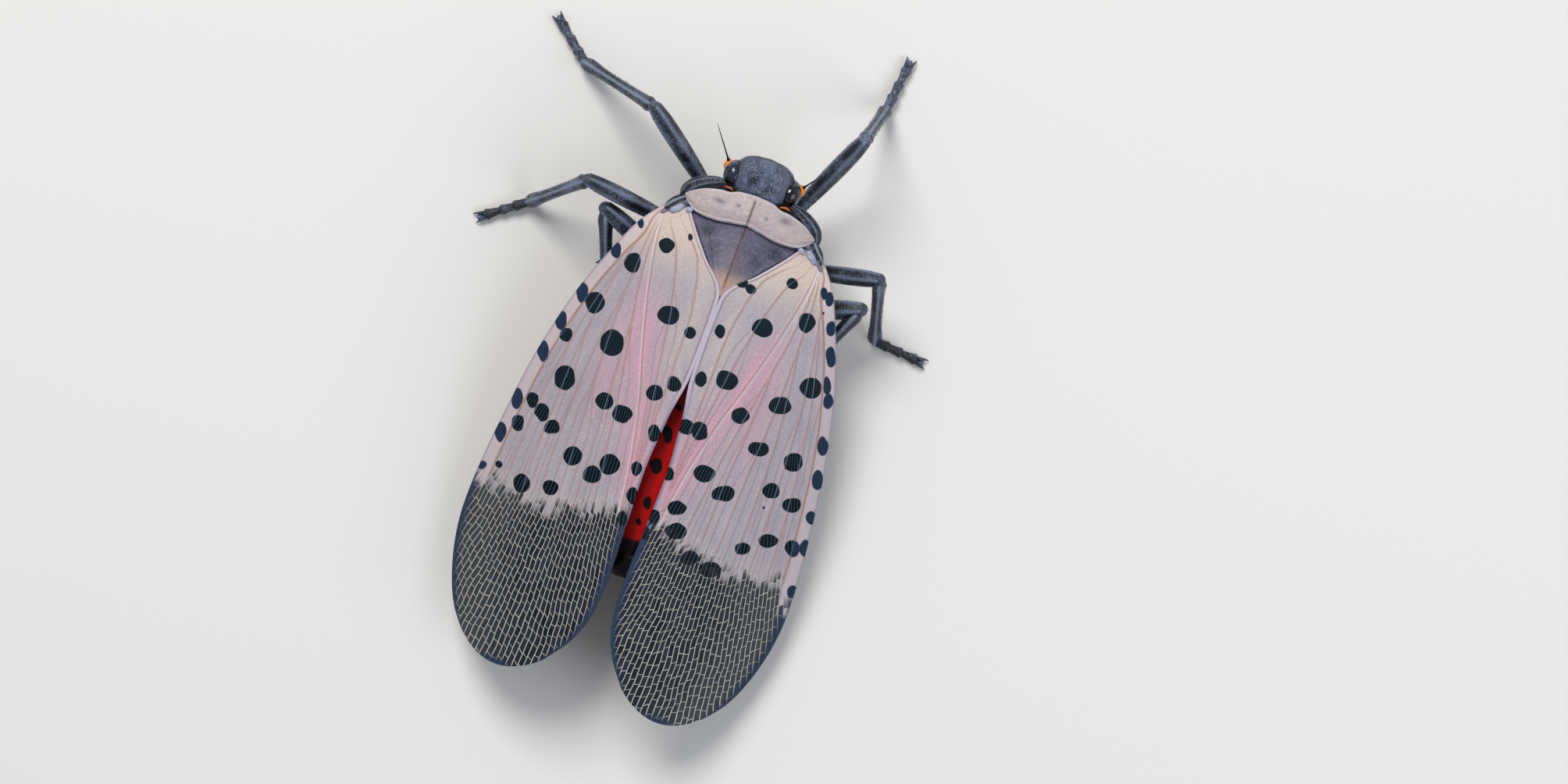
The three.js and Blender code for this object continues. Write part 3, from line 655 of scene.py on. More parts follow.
def wing_finish():
    look = Finish("forewing_membrane", 0.5, 0.05)
    cover, mix, band, near = look.cover, look.mix, look.band, look.near
    rim, inner_rim, outer_rim = look.split(look.triple("edges"))
    fan, along, net = look.split(look.triple("lattice"))
    pink, cream, spots = look.split(look.triple("tones"))
    main_off = nearest_vein(look, "main", MAIN_VEINS) + near(along, 1.8, 3.2, 0.4) * 0.1
    fine_off = nearest_vein(look, "fine", FINE_VEINS)
    costal_off = abs(look.split(look.triple("main_0"))[0])
    suture = look.split(look.triple(f"main_{SUTURE // 3}"))[SUTURE % 3]

    # The membrane: lavender grey, cream at the root, flushed with pink in streaks
    powder = look.noise(11, 4, rough=0.7)
    streaks = look.noise(1, place=look.join(fan * 26, along * 0.22, 0))
    look.ground = mix(look.noise(0.45), (155, 149, 160), (186, 178, 182))
    cover(band(streaks, 0.4, 0.7, 0, 0.4), (192, 182, 188))
    cover(pink * band(streaks, 0.25, 0.75, 0.35, 1) * 0.8, (226, 150, 172))
    cover(cream * 0.85, (222, 202, 182))
    cover(near(powder, 0.3, 0.72, 0.28), (134, 126, 142))
    cover(band(powder, 0.5, 0.8, 0, 0.45), (216, 208, 214))
    cover(near(outer_rim, 0.5, COSTAL_STRIP) * 0.55, (214, 196, 198))

    # Veins, fine ones first, then the brown costal vein and the pale line beside the suture
    broken = band(look.noise(0.9, 2), 0.3, 0.65, 0.25, 0.7)
    cover(near(fine_off, 0.012, 0.042) * broken, (176, 136, 136))
    cover(near(main_off, 0.012, 0.046) * 0.55, (186, 142, 130))
    cover(near(costal_off, 0.015, 0.06) * 0.65, (170, 118, 90))
    cover(near(abs(suture - 0.1), 0.03, 0.08, 0.6), (224, 206, 212))

    # The inner margin: a pale raised rim in front, blue-grey farther back
    front = near(along, 8.4, 10.5)
    rim_colour = mix(front, (104, 112, 140), (196, 186, 204))
    cover(near(inner_rim, 0.06, 0.15, 0.7), rim_colour)
    cover(near(abs(inner_rim - 0.17), 0.008, 0.035, 0.55) * front, (110, 82, 104))
    cover(near(outer_rim, 0.03, 0.12, 0.6), (150, 140, 160))

    # The net of the wing's end: narrow dark cells between pale lines, laid like bricks
    column = fan * NET_COLUMNS + (look.noise(0.6, 1) - 0.5) * 1.3
    which = column.floor()
    inside = column - which
    offset = look.node("TexWhiteNoise", {"W": which}, noise_dimensions="1D")
    rows = along * NET_ROWS + offset + look.noise(0.7, 1) * 1.5 + inside * 0.22
    storey = rows.floor()
    level = rows - storey
    place = look.join(which, storey, 0)
    each = look.node("TexWhiteNoise", {"Vector": place}, noise_dimensions="2D")
    long_line = near(0.5 - abs(inside - 0.5), 0.06, 0.125)
    cross_line = near(0.5 - abs(level - 0.5), 0.018, 0.046)
    thread = long_line.most(cross_line)
    inset = band(rim, 0.1, 0.5)
    cell = mix(look.noise(0.7, 2), (13, 20, 28), (40, 47, 58))
    cell = mix(each * 0.35, cell, (66, 72, 84))
    # Cells grow paler and greyer towards the outer edge: a painted sheen.
    cell = mix(near(outer_rim, 0.8, 3.6, 0.5), cell, (80, 86, 90))
    cell = mix(inset, (44, 56, 78), cell)
    thread_colour = mix(inset, (80, 92, 112), (196, 190, 178))
    cover(band(net + (each - 0.5) * 0.8, -0.2, 0.45), cell)
    cover(band(net, -1.1, 0, 0, 0.9) * thread, thread_colour)
    cover(near(rim, 0.04, 0.22) * band(net, -0.5, 1.2) * 0.75, (52, 64, 88))

    # Spots, with thin pale veins running through them
    crossing = near(main_off, 0.01, 0.04).most(long_line * 0.45)
    ink = mix(look.noise(6), (2, 11, 17), (9, 25, 34))
    ink = mix(crossing * 0.5, ink, (120, 140, 156))
    ink = mix(near(outer_rim, 0.55, 0.75, 0.7), ink, (36, 54, 84))
    cover(near(spots, -0.025, 0.015) * band(net, -0.2, 0.5, 1, 0.92), ink)

    look.bump(thread * band(net, -0.4, 0.4), 0.04)
    look.bump(near(main_off, 0.01, 0.06).most(near(fine_off, 0.01, 0.05, 0.6)), 0.03)
    look.bump(powder, 0.012)
    look.rough(band(powder, 0.3, 0.7, 0.45, 0.62))
    return look.done()


# Hindwing: scarlet, seen between the forewings

# The hindwings lie below the roof by a solid forewing, the gap between nodes, and their own thickness
HINDWING_THICK = 0.14
HINDWING_DROP = 0.5 + 0.25 + HINDWING_THICK
PLEATS = 6
PLEAT_DEEP = 0.05
HINDWING_SPOTS = (
    (855, 557, 14, 24), (840, 597, 17, 21), (829, 645, 11, 17), (869, 522, 8, 11), (817, 668, 7, 9),
)
hind_outer = smooth((5.1, 2.5), (8, 4.2), (12, 4.9), (16, 4.7), (18, 3.9), (18.9, 3.2))
HIND_INNER = {
    "left": smooth((5.1, -0.5), (14, -0.5), (16.2, -0.3), (17.4, 0.5), (18.9, 1.9)),
    "right": smooth((5.1, 0.8), (14, 0.8), (16.2, 0.85), (17.4, 1.1), (18.9, 2.0)),
}


def hindwing(side, sign, material):
    y, s = grid(np.linspace(5.15, 18.85, 220), np.linspace(0, 1, 90))
    inner, outer = HIND_INNER[side](y) + 0.02, hind_outer(y) - 0.02
    x = inner + (outer - inner) * s
    slant = np.sqrt(1 + (ROOF_SLOPE + 2 * ROOF_CURVE * x) ** 2)
    pleat = PLEAT_DEEP * (0.5 - 0.5 * np.cos(2 * np.pi * s * PLEATS))
    z = roof(np.sqrt(x * x + 0.16), y) - HINDWING_DROP * slant - pleat - 0.03
    upper = xyz(sign * x, y, z)
    points, faces = sheet(upper, upper - UP * HINDWING_THICK)
    marks = {"spots": both_faces(spot_distance(upper, HINDWING_SPOTS)), "along": both_faces(y)}
    return piece(f"underwing_{side}", points, faces, material, [f"hindwing_{side}"], marks)


def hindwing_finish():
    look = Finish("hindwing_membrane", 0.42, 0.2)
    flecks = look.band(look.noise(3), 0.52, 0.66, 0, 0.6)
    look.ground = look.mix(look.noise(1.5), (222, 16, 8), (178, 8, 8))
    look.cover(look.near(look.number("spots"), -0.03, 0.03), (14, 8, 12))
    dark_end = look.mix(flecks, (8, 7, 9), (92, 12, 10))
    look.cover(look.band(look.number("along") + look.noise(1.2, 2) * 0.8, 16, 16.3), dark_end)
    look.bump(look.noise(7), 0.02)
    return look.done()


# Pronotum and mesonotum: the two plates between the head and the wings

PLATE_EDGE = 0.14
PLATE_ROLL = 0.12


def plate(name, node, top, thick, material, marks):
    """A thin plate with a rolled rim, from its upper grid of points."""
    rows, columns = (np.arange(count) for count in top.shape[:2])
    r = np.minimum(rows, rows[::-1])[:, None] / len(rows)
    c = np.minimum(columns, columns[::-1])[None, :] / len(columns)
    inset = np.minimum(step(r, 0, 0.06), step(c, 0, 0.03))[..., None]
    upper = top - UP * PLATE_ROLL * (1 - inset)
    lower = top - UP * (PLATE_EDGE + (thick - PLATE_EDGE) * inset)
    points, faces = sheet(upper, lower)
    doubled = {key: both_faces(values) for key, values in marks.items()}
    return piece(name, points, faces, material, [node], doubled)


PRONOTUM_HALF = 3.0
PRONOTUM_THICK = 0.42
pronotum_front = smooth((0, -0.17), (0.8, -0.1), (1.15, 0.04), (1.6, 0.08), (2.3, 0.27), (3.0, 0.62))
pronotum_back = smooth((0, 1.2), (0.6, 1.3), (1.4, 1.42), (2.3, 1.36), (2.7, 1.14), (3.0, 0.84))

# Each dent and each dark smudge of the pronotum: its middle, half width and half length
DENTS = (((1.5, 0.5), 0.3, 0.2), ((0.75, 0.45), 0.18, 0.12), ((2.3, 0.75), 0.25, 0.16))
SMUDGES = (
    ((1.47, 0.56), 0.26, 0.13), ((-1.53, 0.42), 0.24, 0.16), ((0.62, 0.5), 0.12, 0.1),
    ((-0.7, 0.62), 0.1, 0.08),
)


def pronotum(material):
    share, x = grid(np.linspace(0, 1, 90), np.linspace(-1, 1, 260) * PRONOTUM_HALF)
    out = np.abs(x)
    front, back = pronotum_front(out), pronotum_back(out)
    y = front + (back - front) * share
    crown = 0.22 * np.sin(np.pi * np.clip(share, 0.06, 0.9))
    keel = 0.06 * bell(x, 0.2) - 0.05 * bell(x, 0.045)
    z = 6.0 + 0.12 * y + crown + keel - 0.118 * x * x
    flat = xyz(x, y, z)
    dents = sum(blob(out, y, *dent) for dent in DENTS)
    fold = bell(share - 0.22 - 0.04 * out, 0.06) * step(out, 0.1, 0.5)
    z = z - 0.05 * dents - 0.035 * fold + 0.03 * ripple(flat, 1.6, 1.0) + 0.012 * ripple(flat, 6.0, 4.0)
    smudge = sum(blob(x, y, *place) for place in SMUDGES)
    marks = {
        "smudge": np.clip(smudge, 0, 1),
        "line": bell(x, 0.055) * step(share, 0.08, 0.2) * (1 - 0.5 * step(share, 0.8, 1)),
        "rim": np.minimum(np.minimum(share, 1 - share) * (back - front), PRONOTUM_HALF - out),
    }
    return plate("saddle", "pronotum", xyz(x, y, z), PRONOTUM_THICK, material, marks)


def pronotum_finish():
    look = Finish("pronotum_plate", 0.48, 0.4)
    powder = look.noise(7, 4, rough=0.6)
    look.ground = look.mix(look.noise(0.9, 4), (160, 150, 158), (192, 174, 166))
    look.cover(look.band(powder, 0.4, 0.7, 0, 0.3), (210, 202, 206))
    look.cover(look.band(look.noise(3), 0.56, 0.7, 0, 0.35), (168, 140, 134))
    look.cover(look.number("smudge") * 0.75, (96, 92, 112))
    look.cover(look.near(look.number("rim"), 0.03, 0.14, 0.55), (226, 220, 226))
    look.cover(look.number("line") * 0.9, (96, 68, 66))
    look.bump(powder, 0.02)
    look.bump(look.noise(2.4, 4), 0.05)
    return look.done()


MESONOTUM_HALF = 2.1
MESONOTUM_TIP = 4.6
MESONOTUM_THICK = 0.8
MESONOTUM_KEELS = 0.62


def mesonotum(material):
    share, across = grid(np.linspace(0, 1, 130), np.linspace(-1, 1, 220))
    front = pronotum_back(np.abs(across) * MESONOTUM_HALF) - 0.22
    y = front + (MESONOTUM_TIP - front) * share
    half = np.maximum(inner_edge(y) + 0.1, 0.22)
    x = across * half
    out = np.abs(x)
    flat = xyz(x, y, roof(out, y))
    keels = bell(across - MESONOTUM_KEELS, 0.05) + bell(across + MESONOTUM_KEELS, 0.05)
    groove = 0.03 * bell(x, 0.05)
    rolled = 0.2 * bell(share, 0.1) + 0.24 * bell(half - out, 0.12) + 0.3 * step(y, 4.5, 4.6)
    z = flat[..., 2] - 0.06 + 0.05 * keels * (1 - share) - groove - rolled
    z = z + 0.03 * ripple(flat, 1.5, 7.0) + 0.01 * ripple(flat, 7.0, 8.0)
    patch = blob(out, y, (1.55, 1.95), 0.45, 0.32) + 0.8 * blob(out, y, (0.95, 2.6), 0.3, 0.35)
    marks = {
        "tan": step(y, 3.1, 3.9),
        "patch": np.clip(patch, 0, 1),
        "line": bell(x, 0.06) * (1 - step(share, 0.75, 0.95)),
        "brown": bell(x, 0.45) * step(share, 0.1, 0.6),
    }
    return plate("shield", "mesonotum", xyz(x, y, z), MESONOTUM_THICK, material, marks)


def mesonotum_finish():
    look = Finish("mesonotum_plate", 0.5, 0.4)
    powder = look.noise(6, 4, rough=0.65)
    look.ground = look.mix(look.noise(1.1, 4), (66, 70, 90), (108, 104, 124))
    look.cover(look.number("brown") * 0.6, (116, 96, 102))
    look.cover(look.number("patch") * 0.8, (26, 30, 44))
    look.cover(look.band(powder, 0.45, 0.7, 0, 0.3), (140, 140, 160))
    look.cover(look.number("tan") * 0.85, (176, 146, 132))
    look.cover(look.number("line") * 0.85, (72, 48, 50))
    look.bump(powder, 0.03)
    look.bump(look.noise(2.5, 4), 0.06)
    return look.done()


# Head: rings from the beak's root up to the crown, as in the solids

# Each ring's height, half width, front and back
HEAD_RINGS = (
    (2.15, 0.36, -0.42, 0.3), (2.6, 0.6, -0.82, 0.42), (3.3, 0.95, -1.3, 0.42), (4.1, 1.3, -1.68, 0.38),
    (4.8, 1.42, -1.88, 0.3), (5.3, 1.3, -1.9, 0.15), (5.56, 1.12, -1.76, -0.05), (5.7, 0.9, -1.5, -0.3),
)
HEAD_TOP = HEAD_RINGS[-1][0]
HEAD_SQUARE = 0.75
SIDE_KEELS = 0.55
CLYPEUS = 3.35
EYE = (1.3, -0.76, 5.0)
EYE_RADII = (0.46, 0.58, 0.56)
PEDICEL = (1.6, -1.08, 4.03)
SOCKETS = ((EYE, 0.6), (PEDICEL, 0.4))
PROCESS = (0, -1.46, 5.63)
PROCESS_RADII = (0.46, 0.36, 0.29)
EYE_RIM = 0.06


def head_sides():
    """The rings of the head below its crown, and the middle of the topmost one."""
    wide, front, back = curves(HEAD_RINGS)
    z, a = grid(np.linspace(HEAD_RINGS[0][0], HEAD_TOP, 110), circle(160))
    middle = (front(z) + back(z)) / 2
    x = wide(z) * boxy(np.cos(a), HEAD_SQUARE)
    y = middle + (back(z) - front(z)) / 2 * boxy(np.sin(a), HEAD_SQUARE)
    shell = xyz(x, y, z)
    side = SIDE_KEELS * wide(z)
    keels = bell(x, 0.1) + bell(x - side, 0.09) + bell(x + side, 0.09)
    keels = keels * (1 - step(z, 4.3, 4.9)) * step(z, 3.4, 3.9)
    facing = step(-np.sin(a), 0.4, 0.9)
    relief = 0.06 * (keels - bell(z - CLYPEUS, 0.07)) * facing
    relief = relief + 0.03 * ripple(shell, 2.2, 2.0) + 0.012 * ripple(shell, 8.0, 6.0)
    outward = unit(xyz(x, y - middle, 0))
    shell = shell + outward * relief[..., None]

    # A socket is pressed in round each eye and each antenna's root.
    for sign in SIDES.values():
        for centre, reach in SOCKETS:
            distance = np.linalg.norm(shell - mirrored(centre, sign), axis=-1, keepdims=True)
            shell = shell - np.array([sign, 0, 0]) * np.maximum(0, reach - distance) * 0.85
    return shell, middle[-1, 0]


def head_crown(edge, middle):
    """Two shallow pits parted by a low keel, a raised rim, and wrinkles before the process."""
    size = np.linspace(1, 0.03, 60)[1:, None]
    x = edge[:, 0] * size
    y = middle + (edge[:, 1] - middle) * size
    pits = blob(x, y, (0.4, -0.62), 0.2, 0.3) + blob(x, y, (-0.4, -0.62), 0.2, 0.3)
    horn = blob(x, y, (0, -1.3), 0.5, 0.24)
    rim = bell(size - 0.9, 0.07)
    keel = bell(x, 0.08) * (1 - horn)
    folds = 0.035 * horn * np.sin(x * 15 + 1.2) * np.cos(y * 11)
    z = HEAD_TOP + 0.09 * (1 - size**2) + 0.02 * rim - 0.13 * pits + 0.05 * keel + 0.1 * horn + folds
    crown = xyz(x, y, z)
    crown[..., 2] += 0.035 * ripple(crown, 3.0, 3.0) + 0.014 * ripple(crown, 9.0, 1.0)
    # The tint: paler on the raised rim, process and keel, a painted highlight, and darker in the pits,
    # painted shade.
    return crown, 0.15 + 0.15 * rim + 0.3 * horn + 0.2 * keel - 0.3 * pits


def head(material):
    shell, middle = head_sides()
    crown, crown_highlight_and_shade = head_crown(shell[-1], middle)
    parts = Parts()
    # The sides grow paler towards the top; the crown carries its painted highlight and shade.
    tint = np.concatenate([0.25 * step(shell[..., 2], 5.3, 5.6).ravel(), crown_highlight_and_shade.ravel(), [0, 0]])
    parts.add(*loft(np.concatenate([shell, crown])), np.clip(tint, 0, 1))

    # The blunt, upturned and wrinkled process at the front of the crown
    points, faces = ball((0, 0, 0), (1, 1, 1), 72, 44)
    points = boxy(points, 0.72) * PROCESS_RADII + PROCESS
    points[:, 2] += 0.05 * ripple(points, 3.0, 1.0) + 0.02 * np.sin(points[:, 0] * 17)
    points[:, 1] += 0.04 * ripple(points, 4.0, 5.0)
    parts.add(points, faces, 0.36)

    # Rims of the eye sockets, and the cheeks below them
    turn = np.linspace(0, 2 * np.pi, 72)
    for sign in SIDES.values():
        lean = unit(np.array([sign * 0.5, -0.05, 0.86]))
        beside = unit(np.cross((0, 1, 0), lean))
        centre = mirrored(EYE, sign) + (-0.03 * sign, 0, 0.05)
        ring = centre + np.outer(0.5 * np.cos(turn), beside) + np.outer(0.61 * np.sin(turn), (0, 1, 0))
        parts.add(*tube(ring, np.full(len(turn), EYE_RIM), 12, up=lean), 0.55)
        for low, back_to in ((3.9, -0.5), (3.62, -0.35)):
            parts.add(*ball((sign * 1.12, back_to, low), (0.42, 0.45, 0.36), 30, 18), 0.1)
    return parts.make("head_shell", material, ["head"])


def collar(material):
    """The tan membrane that shows in a crescent behind each eye."""
    parts = Parts()
    turn = np.linspace(-1, 1, 24)
    for sign in SIDES.values():
        path = xyz(sign * (1.33 + 0.26 * turn), -0.13 + 0.08 * turn**2, 5.22 - 0.08 * turn)
        parts.add(*tube(path, 0.06 * (1 - 0.8 * turn**2), 12))
    return parts.make("neck_membrane", material)


def eye(side, sign, material):
    points, faces = ball(mirrored(EYE, sign), EYE_RADII, 90, 60, sign * 0.2)
    return piece(f"compound_{side}", points, faces, material, [f"eye_{side}"])


def eye_finish():
    look = Finish("compound_eye", 0.16, 0.6)
    facets = look.cells(15)
    # Blue-grey clouds over the black: a painted reflection.
    painted_reflection = look.band(look.noise(1.1), 0.35, 0.65)
    look.ground = look.mix(painted_reflection, (10, 11, 16), (46, 50, 70))
    look.cover(look.band(facets, 0.3, 0.8, 0, 0.4), (6, 7, 10))
    look.bump(look.near(facets, 0, 0.6), 0.003)
    return look.done()


def plain_finish(name, light, shade, roughness):
    look = Finish(name, roughness)
    look.ground = look.mix(look.band(look.noise(2.5, 4), 0.3, 0.7), light, shade)
    look.bump(look.noise(9), 0.015)
    return look.done()


PEDICEL_RADII = (0.29, 0.29, 0.3)
PEDICEL_DOTS = 90
DOT = 0.02
GOLDEN_ANGLE = 2.39996
BRISTLE_TIP = (2.75, -2.6, 4.45)
BRISTLE_RISE = 0.25


def antenna(side, sign, material):
    parts = Parts()
    root = mirrored(PEDICEL, sign)
    parts.add(*ball(root, PEDICEL_RADII, 60, 40))
    parts.add(*bar(root - (sign * 0.5, -0.1, 0.0), root, ((0, 0.2), (1, 0.24)), 6), 1.0)
    for k in range(PEDICEL_DOTS):
        z = 1 - 2 * (k + 0.5) / PEDICEL_DOTS
        flat = np.sqrt(1 - z * z)
        way = np.array([flat * np.cos(k * GOLDEN_ANGLE), flat * np.sin(k * GOLDEN_ANGLE), z])
        parts.add(*ball(root + way * 0.28, (DOT, DOT, DOT), 8, 6), 0.45)
    share = np.linspace(0, 1, 30)
    path = root + (mirrored(BRISTLE_TIP, sign) - root) * share[:, None]
    path[:, 2] += BRISTLE_RISE * np.sin(np.pi * share)
    width = 0.03 * (1 - share) ** 0.7 + 0.01 + 0.05 * bell(share - 0.13, 0.05)
    parts.add(*tube(path, width, 12), 1.0)
    return parts.make(f"feeler_{side}", material, [f"antenna_{side}"])


def antenna_finish():
    look = Finish("antenna_orange", 0.38)
    tint = look.number("tint")
    look.ground = look.mix(look.noise(2), (246, 150, 24), (222, 104, 20))
    look.cover(look.band(tint, 0.2, 0.4), (250, 196, 110))
    look.cover(look.band(tint, 0.6, 0.9), (30, 26, 30))
    look.bump(look.noise(8), 0.015)
    return look.done()


BEAK_ENDS = ((0, 0.0, 2.02), (0, 5.15, 1.33))
BEAK_PROFILE = ((0, 0.29), (0.2, 0.27), (0.45, 0.23), (0.5, 0.26), (0.95, 0.22), (1, 0.14))


def beak(material):
    parts = Parts()
    parts.add(*bar(*BEAK_ENDS, BEAK_PROFILE, 60, sides=24, ridges=2, ridge=0.06))
    return parts.make("rostrum", material, ["beak"])


# Thorax and abdomen, as tables of distance back, half width, bottom and top

THORAX_ROWS = (
    (-0.42, 1.8, 3.2, 4.9), (0.1, 2.5, 2.7, 5.2), (0.62, 3.08, 2.35, 5.3), (1.1, 3.25, 2.1, 5.2),
    (1.8, 3.15, 1.95, 5.3), (2.9, 2.95, 1.9, 5.35), (4.2, 2.75, 1.95, 5.3), (4.9, 2.4, 2.15, 4.9),
)
THORAX_END = 5.25
SUTURES = (0.72, 1.75, 2.45, 3.55, 4.3)
ABDOMEN_ROWS = (
    (5.0, 2.3, 2.1, 4.75), (8, 2.85, 1.75, 4.85), (11, 2.8, 1.75, 4.6), (14, 2.3, 1.9, 4.25),
    (16, 1.45, 2.2, 3.85), (17.2, 0.58, 2.55, 3.4), (17.6, 0.3, 2.75, 3.2),
)
ABDOMEN_FROM = 5.25
ABDOMEN_DARK = 15.2
PLATE_LONG = 1.62


def trunk(rows, table, squareness, sides):
    """Rings of points round the body's axis, and the way outward at each point."""
    wide, low, high = curves(table)
    y, a = grid(rows, circle(sides))
    x = wide(y) * boxy(np.cos(a), squareness)
    middle = (low(y) + high(y)) / 2
    z = middle + (high(y) - low(y)) / 2 * boxy(np.sin(a), squareness)
    rings = xyz(x, y, z)
    return rings, unit(rings - xyz(0, y, middle))


def crest_highlights(rings, sides, ridges, light):
    """How pale a ribbed form is at each of its points: a painted highlight, most on the ribs' crests."""
    ring = light * (0.5 + 0.5 * np.cos(ridges * circle(sides))) ** 3
    return np.concatenate([np.tile(ring, rings), [0, 0]])


def shoulder(parts, sign):
    """A side lobe of the front segment, paler on its ribs as a painted highlight, that shows before the pale
    saddle.
    """
    steps, sides, ribs = 60, 56, 7
    share = np.linspace(0, 1, steps)
    out = smooth((0, 1.55), (0.25, 1.98), (0.5, 2.46), (0.75, 2.86), (1, 3.1))(share)
    back = smooth((0, -0.3), (0.25, -0.16), (0.5, 0.08), (0.75, 0.42), (1, 0.9))(share)
    high = smooth((0, 5.3), (0.5, 5.08), (1, 4.72))(share) + 0.02 * np.sin(share * 30)
    thick = smooth((0, 0.1), (0.15, 0.2), (0.5, 0.29), (0.85, 0.3), (1, 0.16))(share)
    path = xyz(sign * out, back, high)
    # Paler on the ribs' crests: a painted highlight.
    tint = crest_highlights(steps, sides, ribs, 0.4)
    parts.add(*tube(path, thick, sides, ridges=ribs, ridge=0.07), tint)


def thorax(material):
    rows = np.linspace(THORAX_ROWS[0][0], THORAX_END, 150)
    rings, outward = trunk(rows, THORAX_ROWS, 0.9, 120)
    y = rings[..., 1]
    sutures = sum(bell(y - at, 0.05) for at in SUTURES)
    lobe = bell(y - 0.45, 0.45) * step(rings[..., 2], 3.6, 4.6)
    relief = 0.04 * lobe - 0.07 * sutures + 0.05 * ripple(rings, 1.4, 1.0) + 0.015 * ripple(rings, 7.0, 2.0)
    parts = Parts()
    parts.add(*loft(rings + outward * relief[..., None]))
    for sign in SIDES.values():
        shoulder(parts, sign)
    return parts.make("trunk_front", material, ["thorax"])


def abdomen(material):
    rows, sides = np.linspace(5.0, 17.5, 240), 110
    rings, outward = trunk(rows, ABDOMEN_ROWS, 0.95, sides)
    share = ((rows - ABDOMEN_FROM) / PLATE_LONG) % 1.0
    proud = 0.1 * share**1.5 * (1 - step(share, 0.93, 1.0)) * step(rows, 5.3, 5.6)
    fold = 0.05 * bell(rings[..., 2] - 3.0, 0.12) * (np.abs(rings[..., 0]) > 1)
    relief = proud[:, None] - fold + 0.03 * ripple(rings, 1.6, 3.0)
    points, faces = loft(rings + outward * relief[..., None])
    band = np.repeat(np.where(rows < ABDOMEN_DARK, share, 0.3), sides)
    marks = {"band": np.concatenate([band, [0.5, 0.5]])}
    return piece("trunk_rear", points, faces, material, ["abdomen"], marks)


def abdomen_finish():
    look = Finish("abdomen_bands", 0.45, 0.4)
    place = look.number("band") + (look.noise(1.4) - 0.5) * 0.35
    dark = 1 - look.band(place, 0.62, 0.72) * look.near(place, 0.95, 1)
    yellow = look.mix(look.noise(2), (196, 150, 40), (160, 104, 30))
    black = look.mix(look.noise(3), (26, 24, 30), (70, 70, 84))
    look.ground = look.mix(dark, yellow, black)
    look.bump(look.noise(6, 4), 0.03)
    return look.done()


# The small hard plates beside each tegula: place, half length, half width, turn and tint
HINGE_PLATES = (
    ((3.07, 1.45, 5.03), 0.4, 0.17, 0.73, 0.8), ((2.58, 1.36, 5.29), 0.18, 0.12, 0.5, 0.95),
    ((3.6, 1.76, 4.83), 0.22, 0.11, 1.0, 0.4), ((2.78, 1.08, 5.12), 0.22, 0.13, 0.8, 0.3),
)
TEGULA = (3.2, 1.24, 4.9)
TEGULA_RADII = (0.62, 0.3, 0.22)


def hinge(side, sign, material):
    """The wrinkled tegula over a wing's hinge, with the small hard plates beside it."""
    parts = Parts()
    points, faces = ball(mirrored(TEGULA, sign), TEGULA_RADII, 90, 44, sign * 0.8)
    across = points[:, 1] - points[:, 0] * sign
    wrinkles = np.sin(across * 17 + 2 * ripple(points, 1.8, 6.0))
    points[:, 2] += 0.04 * ripple(points, 2.6, 4.0) + 0.02 * wrinkles
    # Paler on the wrinkles' crests: a painted highlight.
    parts.add(points, faces, np.clip(0.12 + 0.38 * wrinkles, 0, 1))
    for place, long, slim, turn, tint in HINGE_PLATES:
        points, faces = ball(mirrored(place, sign), (long, slim, slim), 48, 28, sign * turn)
        points[:, 2] += 0.05 * ripple(points, 5.0, 2.0)
        parts.add(points, faces, tint)
    return parts.make(f"hinge_{side}", material, [f"tegula_{side}"])


# Legs: each one's hip, trochanter and knee, and its ankle and toe seen from above

ANKLE_HIGH = 0.44
TOE_HIGH = 0.22
LEGS = {
    "fore": {
        "left": ((1.05, 1.0, 2.75), (1.8, 0.5, 1.85), (5.58, -2.32, 4.6), (9.3, -3.25), (10.8, -4.5)),
        "right": ((-1.05, 0.95, 2.75), (-1.6, 0.1, 1.85), (-3.54, -4.1, 5.3), (-3.96, -5.9), (-4.19, -7.85)),
    },
    "mid": {
        "left": ((1.6, 2.55, 2.3), (2.35, 2.2, 1.5), (7.2, 1.66, 4.7), (9.5, 3.4), (11.05, 4.55)),
        "right": ((-1.6, 2.55, 2.3), (-2.3, 2.2, 1.5), (-6.25, 1.37, 4.8), (-7.0, 3.9), (-8.95, 4.05)),
    },
    "hind": {
        "left": ((1.1, 4.35, 2.2), (1.75, 4.3, 1.4), (6.1, 2.55, 3.55), (3.6, 9.4), (3.3, 11.9)),
        "right": ((-1.1, 4.35, 2.2), (-1.75, 4.3, 1.4), (-5.95, 2.85, 3.55), (-3.15, 9.3), (-2.75, 11.75)),
    },
}
LEG_PARTS = ("coxa", "femur", "tibia", "tarsus")
FEMUR_THICK = {"fore": 0.4, "mid": 0.38, "hind": 0.43}
COXA_PROFILE = ((0, 0.56), (0.5, 0.55), (1, 0.37))
TROCHANTER_RADII = (0.36, 0.36, 0.34)

# The femur's radius along it, as shares of its thickness after the first, and the tibia's in full
FEMUR_PROFILE = ((0.12, 0.7), (0.3, 0.86), (0.6, 1), (0.86, 0.96), (1, 0.78))
FEMUR_ROOT = (0, 0.27)
TIBIA_PROFILE = ((0, 0.22), (0.05, 0.31), (0.12, 0.27), (0.3, 0.24), (0.7, 0.235), (0.93, 0.3), (1, 0.24))
KNEE_SHARE = 0.72

# Each joint of the tarsus: where it starts and ends, and its radius there
TARSUS_JOINTS = ((0.0, 0.32, 0.19, 0.25), (0.34, 0.64, 0.17, 0.24), (0.66, 1.0, 0.15, 0.26))
SOLE = 0.002
HIND_SPINES = (0.3, 0.5, 0.68, 0.84)
SPINE_LONG = 0.53
END_SPINES = 0.97
END_SPINE_LONG = 0.45


def ribbed(start, end, profile, steps, sides, ridges, ridge, light):
    """A ribbed limb with a painted highlight along its crests, and the tint of each of its points."""
    tint = crest_highlights(steps + 2 * len(ROUNDED_END), sides, ridges, light)
    return *bar(start, end, profile, steps, sides=sides, ridges=ridges, ridge=ridge), tint


